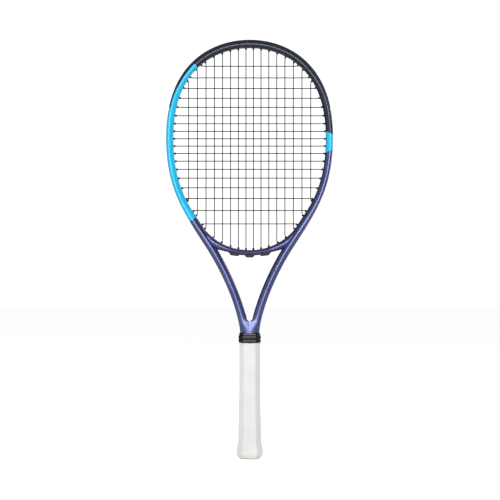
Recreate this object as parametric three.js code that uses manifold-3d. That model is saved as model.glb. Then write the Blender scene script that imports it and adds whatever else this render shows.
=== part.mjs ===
// Tennis racket: a moulded hairpin frame with its bridge, guards, strings and handle.
// Millimetres. +Z runs from the butt to the tip of the head, X lies across the string bed and
// Y goes through it. The origin is the middle of the flat butt end.
import * as THREE from 'three';
import { mergeVertices } from 'three/addons/utils/BufferGeometryUtils.js';
import Module from 'manifold-3d';

const wasm = await Module();
wasm.setup();

const { lerp, smoothstep } = THREE.MathUtils;

// ---------------------------------------------------------------- driving dimensions
const GAP = 0.3; // clearance between pieces that touch

// Flush outline of the right half, from the tip of the head down to the handle.
const LENGTH = 685.8;
const HEAD_HALF_WIDTH = 136.8;
const HEAD_WIDEST_Z = 526;
const THROAT = { x: 70.8, z: 344.6, lean: THREE.MathUtils.degToRad(32.8) };
const NECK = { x: 15.3, z: 200 };
// Reach of the outline's curve handles from the points they belong to.
const HANDLE_REACH = {
  tip: 57.8, widestUp: 125.3, widestDown: 81.7, throatUp: 74, throatDown: 60.2, neckUp: 31.7,
};

// Frame section.
const HOOP_WIDTH = 12;
const TIP_EXTRA_WIDTH = 0.9;
const SHAFT_WIDTH = 14.5;
const RIDGE_STEP = 2.7; // the ridge lies this much further in where the guard covers the tube
const NECK_GROWTH = { width: 8, ridge: 8.6 }; // the shafts widen inwards until they meet in the neck
const BEAM_HALF_DEPTH = 11.5;
const BEAM_SWELL = 1.4;
const STEM = { halfWidth: 10.8, halfDepth: 8.9, top: 194, bottom: 15 };
const CROTCH = { z: 228.6, radius: 4, halfDepth: 4.6, halfWidth: 8, foot: 196 };

// Outer groove that holds the grommet strips, and the string's depth in it.
const CHANNEL = { depth: 3.2, halfWidth: 3.9 };
const STRIP = { floor: 1.9, thickness: 1, halfWidth: 3.6 };
const STRING_DEPTH = 0.95;

// Bridge across the throat.
const BRIDGE = {
  top: 342, bottom: 334.8, undersideRadius: 180, undersideEnd: 66, halfDepth: 10, endHalfDepth: 12.2,
};
const THROAT_STRIP = { halfLength: 37, floor: 0.6, channel: 1.9, wall: 1.2 };

// Strings and grommet barrels.
const STRING_RADIUS = 0.65;
const STRING_SIDES = 4;
const BARREL = { radius: 1.8, bore: 1.13, proud: 2.75, sides: 5 };
const LOOP_SHIFT = 1.75; // sideways step of a loop that passes over another string's hole
const LOOP_EASE = 0.16; // share of a loop over which it steps sideways
const LOOP_START = 0.45; // length of groove in which a string turns out of its hole
const HOLE_ENTRY = 0.55; // depth below the groove at which a string has turned into its hole
const TAIL = 0.03; // length of a tied-off tail, in shares of an outline curve
const MAINS = [6.1, 18.5, 31.3, 44.4, 57.8, 71.6, 85.7, 100.1];
const BRIDGE_MAINS = 3; // the inner mains leave through the bridge
const FORK_END = 64; // the mains beyond this distance from the middle miss the bridge
const CROSSES = {
  count: 18, middleZ: 517, middleIndex: 9.6, pitch: 12, tipSpread: 0.036, throatSpread: 0.0533,
};
const WEAVE = 1.65; // a cross string's step over or under a main string

// Bumper guard.
const GUARD = { tipZ: 572, fullZ: 640, floor: 1.5, proud: 0.3, seat: 0.42 };

// Handle.
const HANDLE = { halfWidth: 15.3, halfDepth: 13.35, frontFlat: 8.2, sideFlat: 6.6, top: 198.5 };
const GRIP = { thickness: 1.6, bottom: 5, top: 190.5 };
const GRIP_HEIGHTS = [GRIP.bottom, 10, 16, 22, 28, 34, 41, GRIP.top];
const FLARE = { out: 4.5, top: 40, full: 10, tuck: 0.9, tuckTop: 12, tuckFull: 3 };
const CAP = { wall: 1.6, top: 42, ledge: 12.6 };
const CAP_FOOT = { halfWidth: 13, halfDepth: 11, edge: 0.8, edgeHalfWidth: 15.5, edgeHalfDepth: 13.5 };
const DOOR = { width: 17, depth: 12, thickness: 1.6, recess: 0.8, gap: 0.35, pin: 1, stud: 1.5 };
const ROOM = { side: 1.6, front: 1.4, back: 2.6 }; // rim of the door's opening round the room behind it
const STAPLE = { z: 31, halfSpan: 5, wire: 0.9, reach: 4, proud: 0.2 };
const TACK = { z: 14, sink: 0.45, headRadius: 2, headThickness: 0.7, shankRadius: 0.5, length: 3 };
const TAPE = { thickness: 0.6, bottom: 191.8, top: 198.3 };
// Heights, half widths and half depths up the outside of the collar and down its inside.
const COLLAR_PROFILE = [
  [190.9, 18.0, 16.35],
  [192.1, 18.2, 16.55],
  [195, 18.2, 16.55],
  [196, 17.5, 15.9],
  [197, 18.2, 16.55],
  [201.5, 18.2, 16.55],
  [202.8, 17.1, 15.4],
  [206.2, 17.0, 15.2],
  [206.2, 16.2, 12.9],
  [199.2, 16.2, 13.8],
  [199, 16.6, 14.7],
  [190.9, 16.8, 14.9],
];

// Steps along each long shape.
const STEPS = {
  tipCurve: 13, sideCurve: 11, shaftCurve: 12, channel: 26, guard: 12, strip: 20, bridge: 18,
  throatChannel: 14, throatStrip: 36,
};
const FRAME_CLEARANCE = GAP + 0.05; // between the faceted frame and what is fitted round it
const DRILL_CLEARANCE = 0.345; // between a barrel and its hole, which have few sides
const OUT = 4; // how far a cutter runs out past the surface it opens

// ---------------------------------------------------------------- materials
function material(color, roughness, metalness = 0) {
  return new THREE.MeshStandardMaterial({ color, roughness, metalness });
}

const navyPaint = material(0x555c96, 0.25, 0.5);
const blackNylon = material(0x2a2f37, 0.6);
const stringMaterial = material(0x44464a, 0.45);
const palletFoam = material(0xb9b2a2, 0.9);
const whitePlastic = material(0xf0ebe0, 0.4);
const gripWhite = material(0xf0efee, 0.8);
const tapeWhite = material(0xe4e4e4, 0.6);
const collarRubber = material(0x2f3238, 0.6);
const steel = material(0xb8bbc0, 0.3, 1);

// ---------------------------------------------------------------- mesh and boolean helpers
const v2 = (x, y) => new THREE.Vector2(x, y);

function geometryFrom(points, triangles) {
  const geometry = new THREE.BufferGeometry();
  const numbers = points.flatMap((p) => [p.x, p.y, p.z]);
  geometry.setAttribute('position', new THREE.Float32BufferAttribute(numbers, 3));
  geometry.setIndex(triangles.flat());
  return geometry;
}

function signedVolume(points, triangles) {
  const cross = new THREE.Vector3();
  const part = ([a, b, c]) => points[a].dot(cross.crossVectors(points[b], points[c]));
  return triangles.reduce((sum, triangle) => sum + part(triangle), 0);
}

// Skin over a row of rings that all have the same number of points. A closed row joins its last
// ring to its first. An open row gets an end face over each of its two end rings.
function loft(rings, closed = false) {
  const size = rings[0].length;
  const points = rings.flat();
  const triangles = [];
  const rows = closed ? rings.length : rings.length - 1;
  for (let row = 0; row < rows; row += 1) {
    const here = row * size;
    const next = ((row + 1) % rings.length) * size;
    for (let i = 0; i < size; i += 1) {
      const j = (i + 1) % size;
      triangles.push([here + i, here + j, next + j], [here + i, next + j, next + i]);
    }
  }
  if (!closed) {
    triangles.push(...endFace(rings[0], 0, -1));
    triangles.push(...endFace(rings.at(-1), points.length - size, 1));
  }
  if (signedVolume(points, triangles) < 0) triangles.forEach((triangle) => triangle.reverse());
  return geometryFrom(points, triangles);
}

// Triangles over one flat ring, wound to agree with the skin next to it.
function endFace(ring, first, side) {
  const normal = new THREE.Vector3();
  ring.forEach((p, i) => normal.add(new THREE.Vector3().crossVectors(p, ring[(i + 1) % ring.length])));
  const across = new THREE.Vector3().subVectors(ring[1], ring[0]).normalize();
  const up = new THREE.Vector3().crossVectors(normal.normalize(), across);
  const flat = ring.map((p) => v2(p.dot(across), p.dot(up)));
  return THREE.ShapeUtils.triangulateShape(flat, []).map(([a, b, c]) => {
    const corners = [flat[a], flat[b], flat[c]];
    const forward = THREE.ShapeUtils.area(corners) > 0;
    const wound = forward === (side > 0) ? [a, b, c] : [a, c, b];
    return wound.map((i) => first + i);
  });
}

function solid(geometry) {
  const bare = geometry.clone();
  bare.deleteAttribute('normal');
  bare.deleteAttribute('uv');
  const merged = mergeVertices(bare, 1e-4);
  const vertProperties = new Float32Array(merged.attributes.position.array);
  const triVerts = new Uint32Array(merged.index.array);
  return new wasm.Manifold(new wasm.Mesh({ numProp: 3, vertProperties, triVerts }));
}

const joinAll = (solids) => solids.reduce((sum, next) => sum.add(next));
const cutAll = (body, cutters) => cutters.reduce((left, cutter) => left.subtract(cutter), body);

function geometryOf(body) {
  const mesh = body.getMesh();
  const geometry = new THREE.BufferGeometry();
  geometry.setAttribute('position', new THREE.BufferAttribute(new Float32Array(mesh.vertProperties), 3));
  geometry.setIndex(new THREE.BufferAttribute(new Uint32Array(mesh.triVerts), 1));
  return geometry;
}

function boxSolid(low, high) {
  const size = high.map((value, i) => value - low[i]);
  const geometry = new THREE.BoxGeometry(...size);
  geometry.translate(...low.map((value, i) => value + size[i] / 2));
  return solid(geometry);
}

// Round bar from one point to another.
function barSolid(start, end, radius, sides) {
  const along = new THREE.Vector3().subVectors(end, start);
  const geometry = new THREE.CylinderGeometry(radius, radius, along.length(), sides);
  const upright = new THREE.Vector3(0, 1, 0);
  geometry.applyQuaternion(new THREE.Quaternion().setFromUnitVectors(upright, along.clone().normalize()));
  geometry.translate(...new THREE.Vector3().addVectors(start, end).multiplyScalar(0.5).toArray());
  return solid(geometry);
}

// ---------------------------------------------------------------- outline of the frame
const lean = v2(Math.sin(THROAT.lean), Math.cos(THROAT.lean));
const throatPoint = v2(THROAT.x, THROAT.z);
const outline = [
  new THREE.CubicBezierCurve(
    v2(0, LENGTH),
    v2(HANDLE_REACH.tip, LENGTH),
    v2(HEAD_HALF_WIDTH, HEAD_WIDEST_Z + HANDLE_REACH.widestUp),
    v2(HEAD_HALF_WIDTH, HEAD_WIDEST_Z),
  ),
  new THREE.CubicBezierCurve(
    v2(HEAD_HALF_WIDTH, HEAD_WIDEST_Z),
    v2(HEAD_HALF_WIDTH, HEAD_WIDEST_Z - HANDLE_REACH.widestDown),
    throatPoint.clone().addScaledVector(lean, HANDLE_REACH.throatUp),
    throatPoint,
  ),
  new THREE.CubicBezierCurve(
    throatPoint,
    throatPoint.clone().addScaledVector(lean, -HANDLE_REACH.throatDown),
    v2(NECK.x, NECK.z + HANDLE_REACH.neckUp),
    v2(NECK.x, NECK.z),
  ),
];

// A station is a place on the outline: its point and the direction into the frame.
// Whole numbers are the ends of the outline's three curves.
function station(s) {
  const index = Math.min(Math.floor(s), outline.length - 1);
  const point = outline[index].getPoint(s - index);
  const tangent = outline[index].getTangent(s - index);
  return { s, point, inward: v2(tangent.y, -tangent.x) };
}

const planPoint = ({ point, inward }, u) => point.clone().addScaledVector(inward, u);

// Space point at depth u under the outline and height v through the bed. side is 1 or -1.
function framePoint(place, u, v, side = 1) {
  const plan = planPoint(place, u);
  return new THREE.Vector3(side * plan.x, v, plan.y);
}

// Station between two others where a falling function of s crosses zero.
function solveStation(low, high, falling) {
  let [from, to] = [low, high];
  for (let step = 0; step < 40; step += 1) {
    const middle = (from + to) / 2;
    if (falling(station(middle)) > 0) from = middle;
    else to = middle;
  }
  return station((from + to) / 2);
}

const stationAtHeight = (z) => solveStation(0, 3, ({ point }) => point.y - z);

const frameWidth = (z) => HOOP_WIDTH
  + TIP_EXTRA_WIDTH * smoothstep(z, 600, LENGTH)
  + (SHAFT_WIDTH - HOOP_WIDTH) * (1 - smoothstep(z, 370, 430))
  + NECK_GROWTH.width * (1 - smoothstep(z, 204, 226));

const ridgeDepth = (z) => lerp(0.5 * SHAFT_WIDTH, 0.38 * HOOP_WIDTH, smoothstep(z, 340, 430))
  + RIDGE_STEP * smoothstep(z, 590, GUARD.fullZ)
  + NECK_GROWTH.ridge * (1 - smoothstep(z, 206, 222));

const halfDepth = (z) => BEAM_HALF_DEPTH
  + BEAM_SWELL * smoothstep(z, 215, 320) * (1 - smoothstep(z, 420, 620));

// Section of the tube: u is the depth under the outline, v the height through the bed.
// From the outer wall it rises over a facet to the ridge and falls over another to the inner wall.
function frameSection(width, ridge, half, grow) {
  const inner = width - ridge;
  const upper = [
    [0, 0.42 * half],
    [0.25 * ridge, 0.74 * half],
    [0.62 * ridge, 0.95 * half],
    [ridge, half],
    [ridge + 0.45 * inner, 0.86 * half],
    [ridge + 0.85 * inner, 0.6 * half],
    [width, 0.36 * half],
  ];
  const lower = upper.map(([u, v]) => [u, -v]).reverse();
  const stretchU = 1 + (2 * grow) / width;
  const stretchV = 1 + (1.4 * grow) / half;
  return [...upper, ...lower].map(([u, v]) => [width / 2 + (u - width / 2) * stretchU, v * stretchV]);
}

// ---------------------------------------------------------------- holes for the strings
const bridgeTop = new THREE.CubicBezierCurve(
  v2(0, BRIDGE.top),
  v2(32, BRIDGE.top),
  v2(58, BRIDGE.top + 14),
  v2(76, BRIDGE.top + 37),
);

function bridgeTopAt(x) {
  let [from, to] = [0, 1];
  for (let step = 0; step < 30; step += 1) {
    const middle = (from + to) / 2;
    if (bridgeTop.getPoint(middle).x < x) from = middle;
    else to = middle;
  }
  return bridgeTop.getPoint(from).y;
}

const undersideCentre = v2(0, BRIDGE.bottom + BRIDGE.undersideRadius);

// A place on the underside of the bridge, with the direction up into it.
function undersidePlace(x) {
  const rise = Math.sqrt(BRIDGE.undersideRadius ** 2 - x ** 2);
  const point = v2(x, undersideCentre.y - rise);
  return { point, inward: undersideCentre.clone().sub(point).normalize() };
}

const mouthDepth = (place) => frameWidth(place.point.y) + BARREL.proud;

// The hole at the tip end of a main string.
function topMainHole(x) {
  const place = solveStation(0, 1, (p) => x - planPoint(p, mouthDepth(p)).x);
  return { place, mouth: mouthDepth(place), where: 'hoop' };
}

// The hole at the throat end: in the bridge, through the fork beside it, or in the hoop.
function bottomMainHole(x, index) {
  if (index < BRIDGE_MAINS) {
    const place = { ...undersidePlace(x), inward: v2(0, 1) };
    return { place, mouth: bridgeTopAt(x) - place.point.y + BARREL.proud, where: 'bridge' };
  }
  const hoopPlace = solveStation(1, 2, (p) => planPoint(p, mouthDepth(p)).x - x);
  const mouthZ = planPoint(hoopPlace, mouthDepth(hoopPlace)).y;
  const bridgeMouthZ = bridgeTopAt(x) + BARREL.proud;
  if (x > FORK_END || mouthZ > bridgeMouthZ) {
    return { place: hoopPlace, mouth: mouthDepth(hoopPlace), where: 'hoop' };
  }
  const depthTo = ({ point, inward }) => (x - point.x) / inward.x;
  const place = solveStation(1.5, 2.4, (p) => planPoint(p, depthTo(p)).y - bridgeMouthZ);
  return { place, mouth: depthTo(place), where: 'fork' };
}

function crossHole(z) {
  const place = solveStation(0, 2, (p) => planPoint(p, mouthDepth(p)).y - z);
  return { place, mouth: mouthDepth(place), where: 'hoop' };
}

// The crosses are closest in the middle of the head and spread towards both ends.
function crossHeight(index) {
  const step = index - CROSSES.middleIndex;
  const spread = step < 0 ? CROSSES.tipSpread : CROSSES.throatSpread;
  return CROSSES.middleZ - CROSSES.pitch * step - spread * step ** 3;
}

const topMains = MAINS.map(topMainHole);
const bottomMains = MAINS.map(bottomMainHole);
const crossHeights = Array.from({ length: CROSSES.count }, (_, i) => crossHeight(i + 1));
const crossHoles = crossHeights.map(crossHole);
const hoopHoles = [...topMains, ...bottomMains, ...crossHoles].filter(({ where }) => where !== 'bridge');

const guardTip = stationAtHeight(GUARD.tipZ);
const stripStart = stationAtHeight(GUARD.tipZ - 3);
const stripEnd = station(bottomMains[BRIDGE_MAINS].place.s + 0.08);

const holeBar = ({ place, mouth }, side, radius, from, extra) => barSolid(
  framePoint(place, from, 0, side),
  framePoint(place, mouth + extra, 0, side),
  radius,
  BARREL.sides,
);
const bothSides = (make) => [1, -1].flatMap(make);
const drillings = (holes) => bothSides((side) => holes.map(
  (hole) => holeBar(hole, side, BARREL.radius + DRILL_CLEARANCE, -OUT, OUT / 2),
));

// Row of rings along the hoop from one side's station, over the tip, to the other side's.
function hoopRings(places, section) {
  const ring = (place, side) => section(place).map(([u, v]) => framePoint(place, u, v, side));
  const left = places.slice(1).reverse().map((place) => ring(place, -1));
  return [...left, ...places.map((place) => ring(place, 1))];
}

function spaced(from, to, count) {
  return Array.from({ length: count + 1 }, (_, i) => station(lerp(from, to, i / count)));
}

// ---------------------------------------------------------------- frame hairpin
// One half of the tube, from just past the tip of the head to the foot of the stem. Below the
// throat its inner wall passes the middle, so that the two halves join into one neck.
function frameHalf(side, grow = 0) {
  const stations = [
    ...spaced(0, 1, STEPS.tipCurve),
    ...spaced(1, 2, STEPS.sideCurve).slice(1),
    ...spaced(2, 2.96, STEPS.shaftCurve).slice(1),
  ];
  const rings = stations.map((place) => {
    const z = place.point.y;
    const section = frameSection(frameWidth(z), ridgeDepth(z), halfDepth(z), grow);
    return section.map(([u, v]) => framePoint(place, u, v, side));
  });
  rings.unshift(rings[0].map(({ y, z }) => new THREE.Vector3(-0.5 * side, y, z)));
  [STEM.top, STEM.bottom].forEach((z) => {
    const section = frameSection(STEM.halfWidth + 2, 0.7 * STEM.halfWidth, STEM.halfDepth, grow);
    rings.push(section.map(([u, v]) => new THREE.Vector3(side * (STEM.halfWidth - u), v, z)));
  });
  return solid(loft(rings));
}

// Web in the crotch between the shafts, with its round notch.
function crotchWeb() {
  const shape = new THREE.Shape();
  shape.moveTo(-CROTCH.halfWidth, CROTCH.foot);
  shape.lineTo(CROTCH.halfWidth, CROTCH.foot);
  shape.lineTo(CROTCH.halfWidth, CROTCH.z);
  shape.lineTo(CROTCH.radius, CROTCH.z);
  shape.absarc(0, CROTCH.z, CROTCH.radius, 0, -Math.PI, true);
  shape.lineTo(-CROTCH.halfWidth, CROTCH.z);
  const options = { depth: 2 * CROTCH.halfDepth, bevelEnabled: false, curveSegments: 8 };
  const geometry = new THREE.ExtrudeGeometry(shape, options);
  geometry.rotateX(Math.PI / 2);
  geometry.translate(0, CROTCH.halfDepth, 0);
  return solid(geometry);
}

const channelSection = (depth) => [
  [-OUT, CHANNEL.halfWidth],
  [depth, CHANNEL.halfWidth],
  [depth, -CHANNEL.halfWidth],
  [-OUT, -CHANNEL.halfWidth],
];

function channelCutter() {
  const places = spaced(0, stripEnd.s + 0.015, STEPS.channel);
  return solid(loft(hoopRings(places, () => channelSection(CHANNEL.depth))));
}

// How far the guard's wings reach round the tube: all the way over the tip, less towards its ends.
const wingScale = (z) => lerp(0.3, 1, smoothstep(z, GUARD.tipZ - 12, GUARD.fullZ));

// Inner line of the guard's wing, from the channel's edge round the outer facet of the tube.
function wingInner(z, shift) {
  const k = wingScale(z);
  return [
    [GUARD.floor + shift, 4.4],
    [GUARD.floor + 1.3 * k + shift, 4.4 + 3.4 * k],
    [GUARD.floor + 3.4 * k + shift, 4.4 + 6.4 * k],
  ];
}

const mirrored = (upper) => [...upper, ...upper.map(([u, v]) => [u, -v]).reverse()];

function guardCutter() {
  const places = spaced(0, guardTip.s + 0.006, STEPS.guard);
  const section = ({ point }) => {
    const inner = wingInner(point.y, GUARD.seat);
    const [edgeU, edgeV] = inner[2];
    const outer = [[-OUT, edgeV + 5], [edgeU - 2.2, edgeV + 3], [edgeU, edgeV + 0.3]];
    return mirrored([...outer, inner[1], inner[0]]);
  };
  return solid(loft(hoopRings(places, section)));
}

function frameHairpin() {
  const halves = joinAll([frameHalf(1), frameHalf(-1), crotchWeb()]);
  return geometryOf(cutAll(halves, [channelCutter(), guardCutter(), ...drillings(hoopHoles)]));
}

// ---------------------------------------------------------------- throat bridge
function throatBridge() {
  const rings = Array.from({ length: STEPS.bridge + 1 }, (_, i) => {
    const across = (2 * i) / STEPS.bridge - 1;
    const reach = Math.abs(across);
    const side = across < 0 ? -1 : 1;
    const top = bridgeTop.getPoint(reach);
    const bottom = undersidePlace(BRIDGE.undersideEnd * reach).point;
    const half = lerp(BRIDGE.halfDepth, BRIDGE.endHalfDepth, smoothstep(reach, 0.2, 0.8));
    const upper = [[0, 0.5], [0.22, 0.9], [0.45, 1], [0.8, 0.72], [1, 0.42]];
    return mirrored(upper).map(([f, v]) => {
      const plan = bottom.clone().lerp(top, f);
      return new THREE.Vector3(side * plan.x, v * half, plan.y);
    });
  });
  const strip = throatChannelCutter();
  const frames = [frameHalf(1, FRAME_CLEARANCE), frameHalf(-1, FRAME_CLEARANCE)];
  return geometryOf(cutAll(solid(loft(rings)), [...frames, strip, ...drillings(bottomMains)]));
}

const throatPlaces = (reach, count) => Array.from(
  { length: count + 1 },
  (_, i) => undersidePlace(lerp(-reach, reach, i / count)),
);

function throatChannelCutter() {
  const section = channelSection(THROAT_STRIP.channel);
  const rings = throatPlaces(THROAT_STRIP.halfLength + GAP, STEPS.throatChannel)
    .map((place) => section.map(([u, v]) => framePoint(place, u, v)));
  return solid(loft(rings));
}

// ---------------------------------------------------------------- grommets
const barrels = (holes, side, from) => holes.map((hole) => holeBar(hole, side, BARREL.radius, from, 0));
const bores = (holes, side) => holes.map((hole) => holeBar(hole, side, BARREL.bore, -OUT, 1));

function bumperGuard() {
  const places = spaced(0, guardTip.s, STEPS.guard);
  const floorU = STRIP.floor;
  const section = ({ point }) => {
    const k = wingScale(point.y);
    const inner = wingInner(point.y, 0);
    const [edgeU, edgeV] = inner[2];
    return mirrored([
      [floorU, 2.9],
      [-GUARD.proud, 2.9],
      [-GUARD.proud, 4.9],
      [GUARD.floor + 1.3 * k - 1.5, 4.9 + 3.5 * k],
      [edgeU - 0.9, edgeV + 0.75],
      [edgeU, edgeV],
      inner[1],
      inner[0],
      [GUARD.floor, STRIP.halfWidth],
      [floorU + STRIP.thickness, STRIP.halfWidth],
    ].reverse());
  };
  const shell = solid(loft(hoopRings(places, section)));
  const holes = hoopHoles.filter(({ place }) => place.s < guardTip.s);
  const parts = bothSides((side) => barrels(holes, side, STRIP.floor + 0.1));
  return geometryOf(cutAll(joinAll([shell, ...parts]), bothSides((side) => bores(holes, side))));
}

function grommetStrip(side) {
  const places = spaced(stripStart.s, stripEnd.s, STEPS.strip);
  const bottom = STRIP.floor + STRIP.thickness;
  const section = [
    [STRIP.floor, STRIP.halfWidth],
    [bottom, STRIP.halfWidth],
    [bottom, -STRIP.halfWidth],
    [STRIP.floor, -STRIP.halfWidth],
  ];
  const rings = places.map((place) => section.map(([u, v]) => framePoint(place, u, v, side)));
  const holes = hoopHoles.filter(({ place }) => place.s > guardTip.s);
  const body = joinAll([solid(loft(rings)), ...barrels(holes, side, STRIP.floor + 0.1)]);
  return geometryOf(cutAll(body, bores(holes, side)));
}

// Walls of the throat strip stand below the bridge, highest beside each string loop.
function humpHeight(x) {
  const distance = Math.abs(x);
  const hump = (centre, height, reach) => height * smoothstep(reach - Math.abs(distance - centre), 0, 3.5);
  const end = smoothstep(THROAT_STRIP.halfLength - distance, 0, 6);
  return end * (1.9 + hump(0, 3.4, 8.5) + hump(24.9, 2.3, 9));
}

function throatGrommetStrip() {
  const places = throatPlaces(THROAT_STRIP.halfLength, STEPS.throatStrip);
  const floorU = THROAT_STRIP.floor;
  const rings = places.map((place) => {
    const drop = -0.1 - humpHeight(place.point.x);
    const section = mirrored([
      [floorU, STRIP.halfWidth - THROAT_STRIP.wall],
      [drop, STRIP.halfWidth - THROAT_STRIP.wall],
      [drop, STRIP.halfWidth],
      [floorU + STRIP.thickness, STRIP.halfWidth],
    ].reverse());
    return section.map(([u, v]) => framePoint(place, u, v));
  });
  const holes = bottomMains.slice(0, BRIDGE_MAINS);
  const parts = bothSides((side) => barrels(holes, side, floorU + 0.1));
  const body = joinAll([solid(loft(rings)), ...parts]);
  return geometryOf(cutAll(body, bothSides((side) => bores(holes, side))));
}

// ---------------------------------------------------------------- strings
// Route through hand-placed knots. One extrusion step runs from each knot to the next.
class StringRoute extends THREE.Curve {
  constructor(knots) {
    super();
    this.knots = knots;
  }

  getPoint(t, target = new THREE.Vector3()) {
    const place = t * (this.knots.length - 1);
    const index = Math.min(Math.floor(place + 1e-6), this.knots.length - 2);
    return target.copy(this.knots[index]).lerp(this.knots[index + 1], place - index);
  }

  getPointAt(u, target) {
    return this.getPoint(u, target);
  }

  getTangentAt(u, target = new THREE.Vector3()) {
    const index = Math.round(u * (this.knots.length - 1));
    const leg = (i) => new THREE.Vector3().subVectors(this.knots[i + 1], this.knots[i]).normalize();
    const before = leg(Math.max(index - 1, 0));
    const after = leg(Math.min(index, this.knots.length - 2));
    return target.addVectors(before, after).normalize();
  }
}

function stringGeometry(knots) {
  const corners = Array.from({ length: STRING_SIDES }, (_, i) => {
    const angle = (2 * Math.PI * i) / STRING_SIDES;
    return v2(STRING_RADIUS * Math.cos(angle), STRING_RADIUS * Math.sin(angle));
  });
  const options = { steps: knots.length - 1, extrudePath: new StringRoute(knots), bevelEnabled: false };
  return new THREE.ExtrudeGeometry(new THREE.Shape(corners), options);
}

// Knots from a string's mouth at one hole, along the groove, and in at the mouth of the next hole.
// shift moves the run sideways, clear of a string that leaves between the two holes.
function loopKnots(fromHole, toHole, fromSide, toSide, shift) {
  const depth = STRING_DEPTH - (fromHole.where === 'bridge' ? STRIP.floor - THROAT_STRIP.floor : 0);
  const middle = groovePlaces(fromHole, toHole, fromSide, toSide);
  const start = [
    framePoint(fromHole.place, fromHole.mouth, 0, fromSide),
    framePoint(fromHole.place, depth + HOLE_ENTRY, 0, fromSide),
  ];
  const end = [
    framePoint(toHole.place, depth + HOLE_ENTRY, 0, toSide),
    framePoint(toHole.place, toHole.mouth, 0, toSide),
  ];
  const run = middle.map(({ place, side }, i) => {
    const atEnd = i === 0 || i === middle.length - 1;
    return framePoint(place, depth, atEnd ? 0 : shift, side);
  });
  return [...start, ...run, ...end];
}

// Places along the groove between two holes, the outer two just clear of the holes.
function groovePlaces(fromHole, toHole, fromSide, toSide) {
  const inBridge = fromHole.where === 'bridge';
  const signed = (hole, side) => side * (inBridge ? hole.place.point.x : hole.place.s);
  const start = signed(fromHole, fromSide);
  const end = signed(toHole, toSide);
  const at = (value) => (inBridge
    ? { place: undersidePlace(Math.abs(value)), side: Math.sign(value) || 1 }
    : { place: station(Math.abs(value)), side: Math.sign(value) || 1 });
  const spot = ({ place, side }) => framePoint(place, 0, 0, side);
  const near = LOOP_START / spot(at(start)).distanceTo(spot(at(end)));
  return [near, LOOP_EASE, 1 - LOOP_EASE, 1 - near].map((f) => at(lerp(start, end, f)));
}

// True when another string's hole lies between two holes of the hoop.
function crowded(a, b) {
  const [low, high] = [a.place.s, b.place.s].sort((one, other) => one - other);
  return hoopHoles.some(({ place }) => place.s > low + 1e-6 && place.s < high - 1e-6);
}

// Short tail in the groove where a string is tied off.
function tailKnots(hole, side, shift) {
  const { s } = hole.place;
  return [
    framePoint(station(s + TAIL), STRING_DEPTH, shift, side),
    framePoint(station(s + 0.45 * TAIL), STRING_DEPTH, shift, side),
    framePoint(station(s + 0.002), STRING_DEPTH, 0, side),
    framePoint(hole.place, STRING_DEPTH + HOLE_ENTRY, 0, side),
    framePoint(hole.place, hole.mouth, 0, side),
  ];
}

function mainString() {
  const last = MAINS.length - 1;
  const knots = tailKnots(bottomMains[last], -1, -LOOP_SHIFT);
  const columns = [
    ...MAINS.map((_, i) => ({ index: last - i, side: -1 })),
    ...MAINS.map((_, i) => ({ index: i, side: 1 })),
  ];
  columns.slice(0, -1).forEach(({ index, side }, i) => {
    const next = columns[i + 1];
    const holes = i % 2 === 0 ? topMains : bottomMains;
    const inHoop = holes[index].where !== 'bridge';
    const shift = inHoop && crowded(holes[index], holes[next.index]) ? -LOOP_SHIFT : 0;
    knots.push(...loopKnots(holes[index], holes[next.index], side, next.side, shift));
  });
  knots.push(...tailKnots(bottomMains[last], 1, -LOOP_SHIFT).reverse());
  return stringGeometry(knots);
}

// A cross string steps over one main string and under the next.
function weaveKnots(z, row, direction) {
  const columns = [...MAINS.map((x) => -x).reverse(), ...MAINS];
  const mouth = crossHoles[row];
  const reach = planPoint(mouth.place, mouth.mouth).x;
  const knots = columns
    .map((x, column) => ({ x, y: (row + column) % 2 === 0 ? WEAVE : -WEAVE }))
    .filter(({ x }) => Math.abs(x) < reach - 1)
    .map(({ x, y }) => new THREE.Vector3(x, y, z));
  return direction > 0 ? knots : knots.reverse();
}

function crossString() {
  const knots = tailKnots(crossHoles[0], -1, LOOP_SHIFT);
  crossHeights.forEach((z, row) => {
    const direction = row % 2 === 0 ? 1 : -1;
    knots.push(...weaveKnots(z, row, direction));
    if (row === CROSSES.count - 1) return;
    const [here, next] = [crossHoles[row], crossHoles[row + 1]];
    const shift = crowded(here, next) ? LOOP_SHIFT : 0;
    knots.push(...loopKnots(here, next, direction, direction, shift));
  });
  knots.push(...tailKnots(crossHoles.at(-1), -1, LOOP_SHIFT).reverse());
  return stringGeometry(knots);
}

// ---------------------------------------------------------------- handle
// Eight-sided ring at height z. The flats keep their share of the width as the ring grows.
function octagon(z, halfWidth, halfDepthY) {
  const front = halfWidth * (HANDLE.frontFlat / HANDLE.halfWidth);
  const sideFlat = halfDepthY * (HANDLE.sideFlat / HANDLE.halfDepth);
  const corners = [[front, -halfDepthY], [halfWidth, -sideFlat], [halfWidth, sideFlat], [front, halfDepthY]];
  const ring = [...corners, ...corners.map(([x, y]) => [-x, y]).reverse()];
  return ring.map(([x, y]) => new THREE.Vector3(x, y, z));
}

const handleRing = (z, grow) => octagon(z, HANDLE.halfWidth + grow, HANDLE.halfDepth + grow);
const prism = (low, high, grow) => solid(loft([handleRing(low, grow), handleRing(high, grow)]));
const sleeve = (rings) => loft(rings, true);

// Outer flare of the butt cap above the straight handle, by height.
const flare = (z) => FLARE.out * (1 - smoothstep(z, FLARE.full, FLARE.top))
  - FLARE.tuck * (1 - smoothstep(z, FLARE.tuckFull, FLARE.tuckTop));

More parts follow.
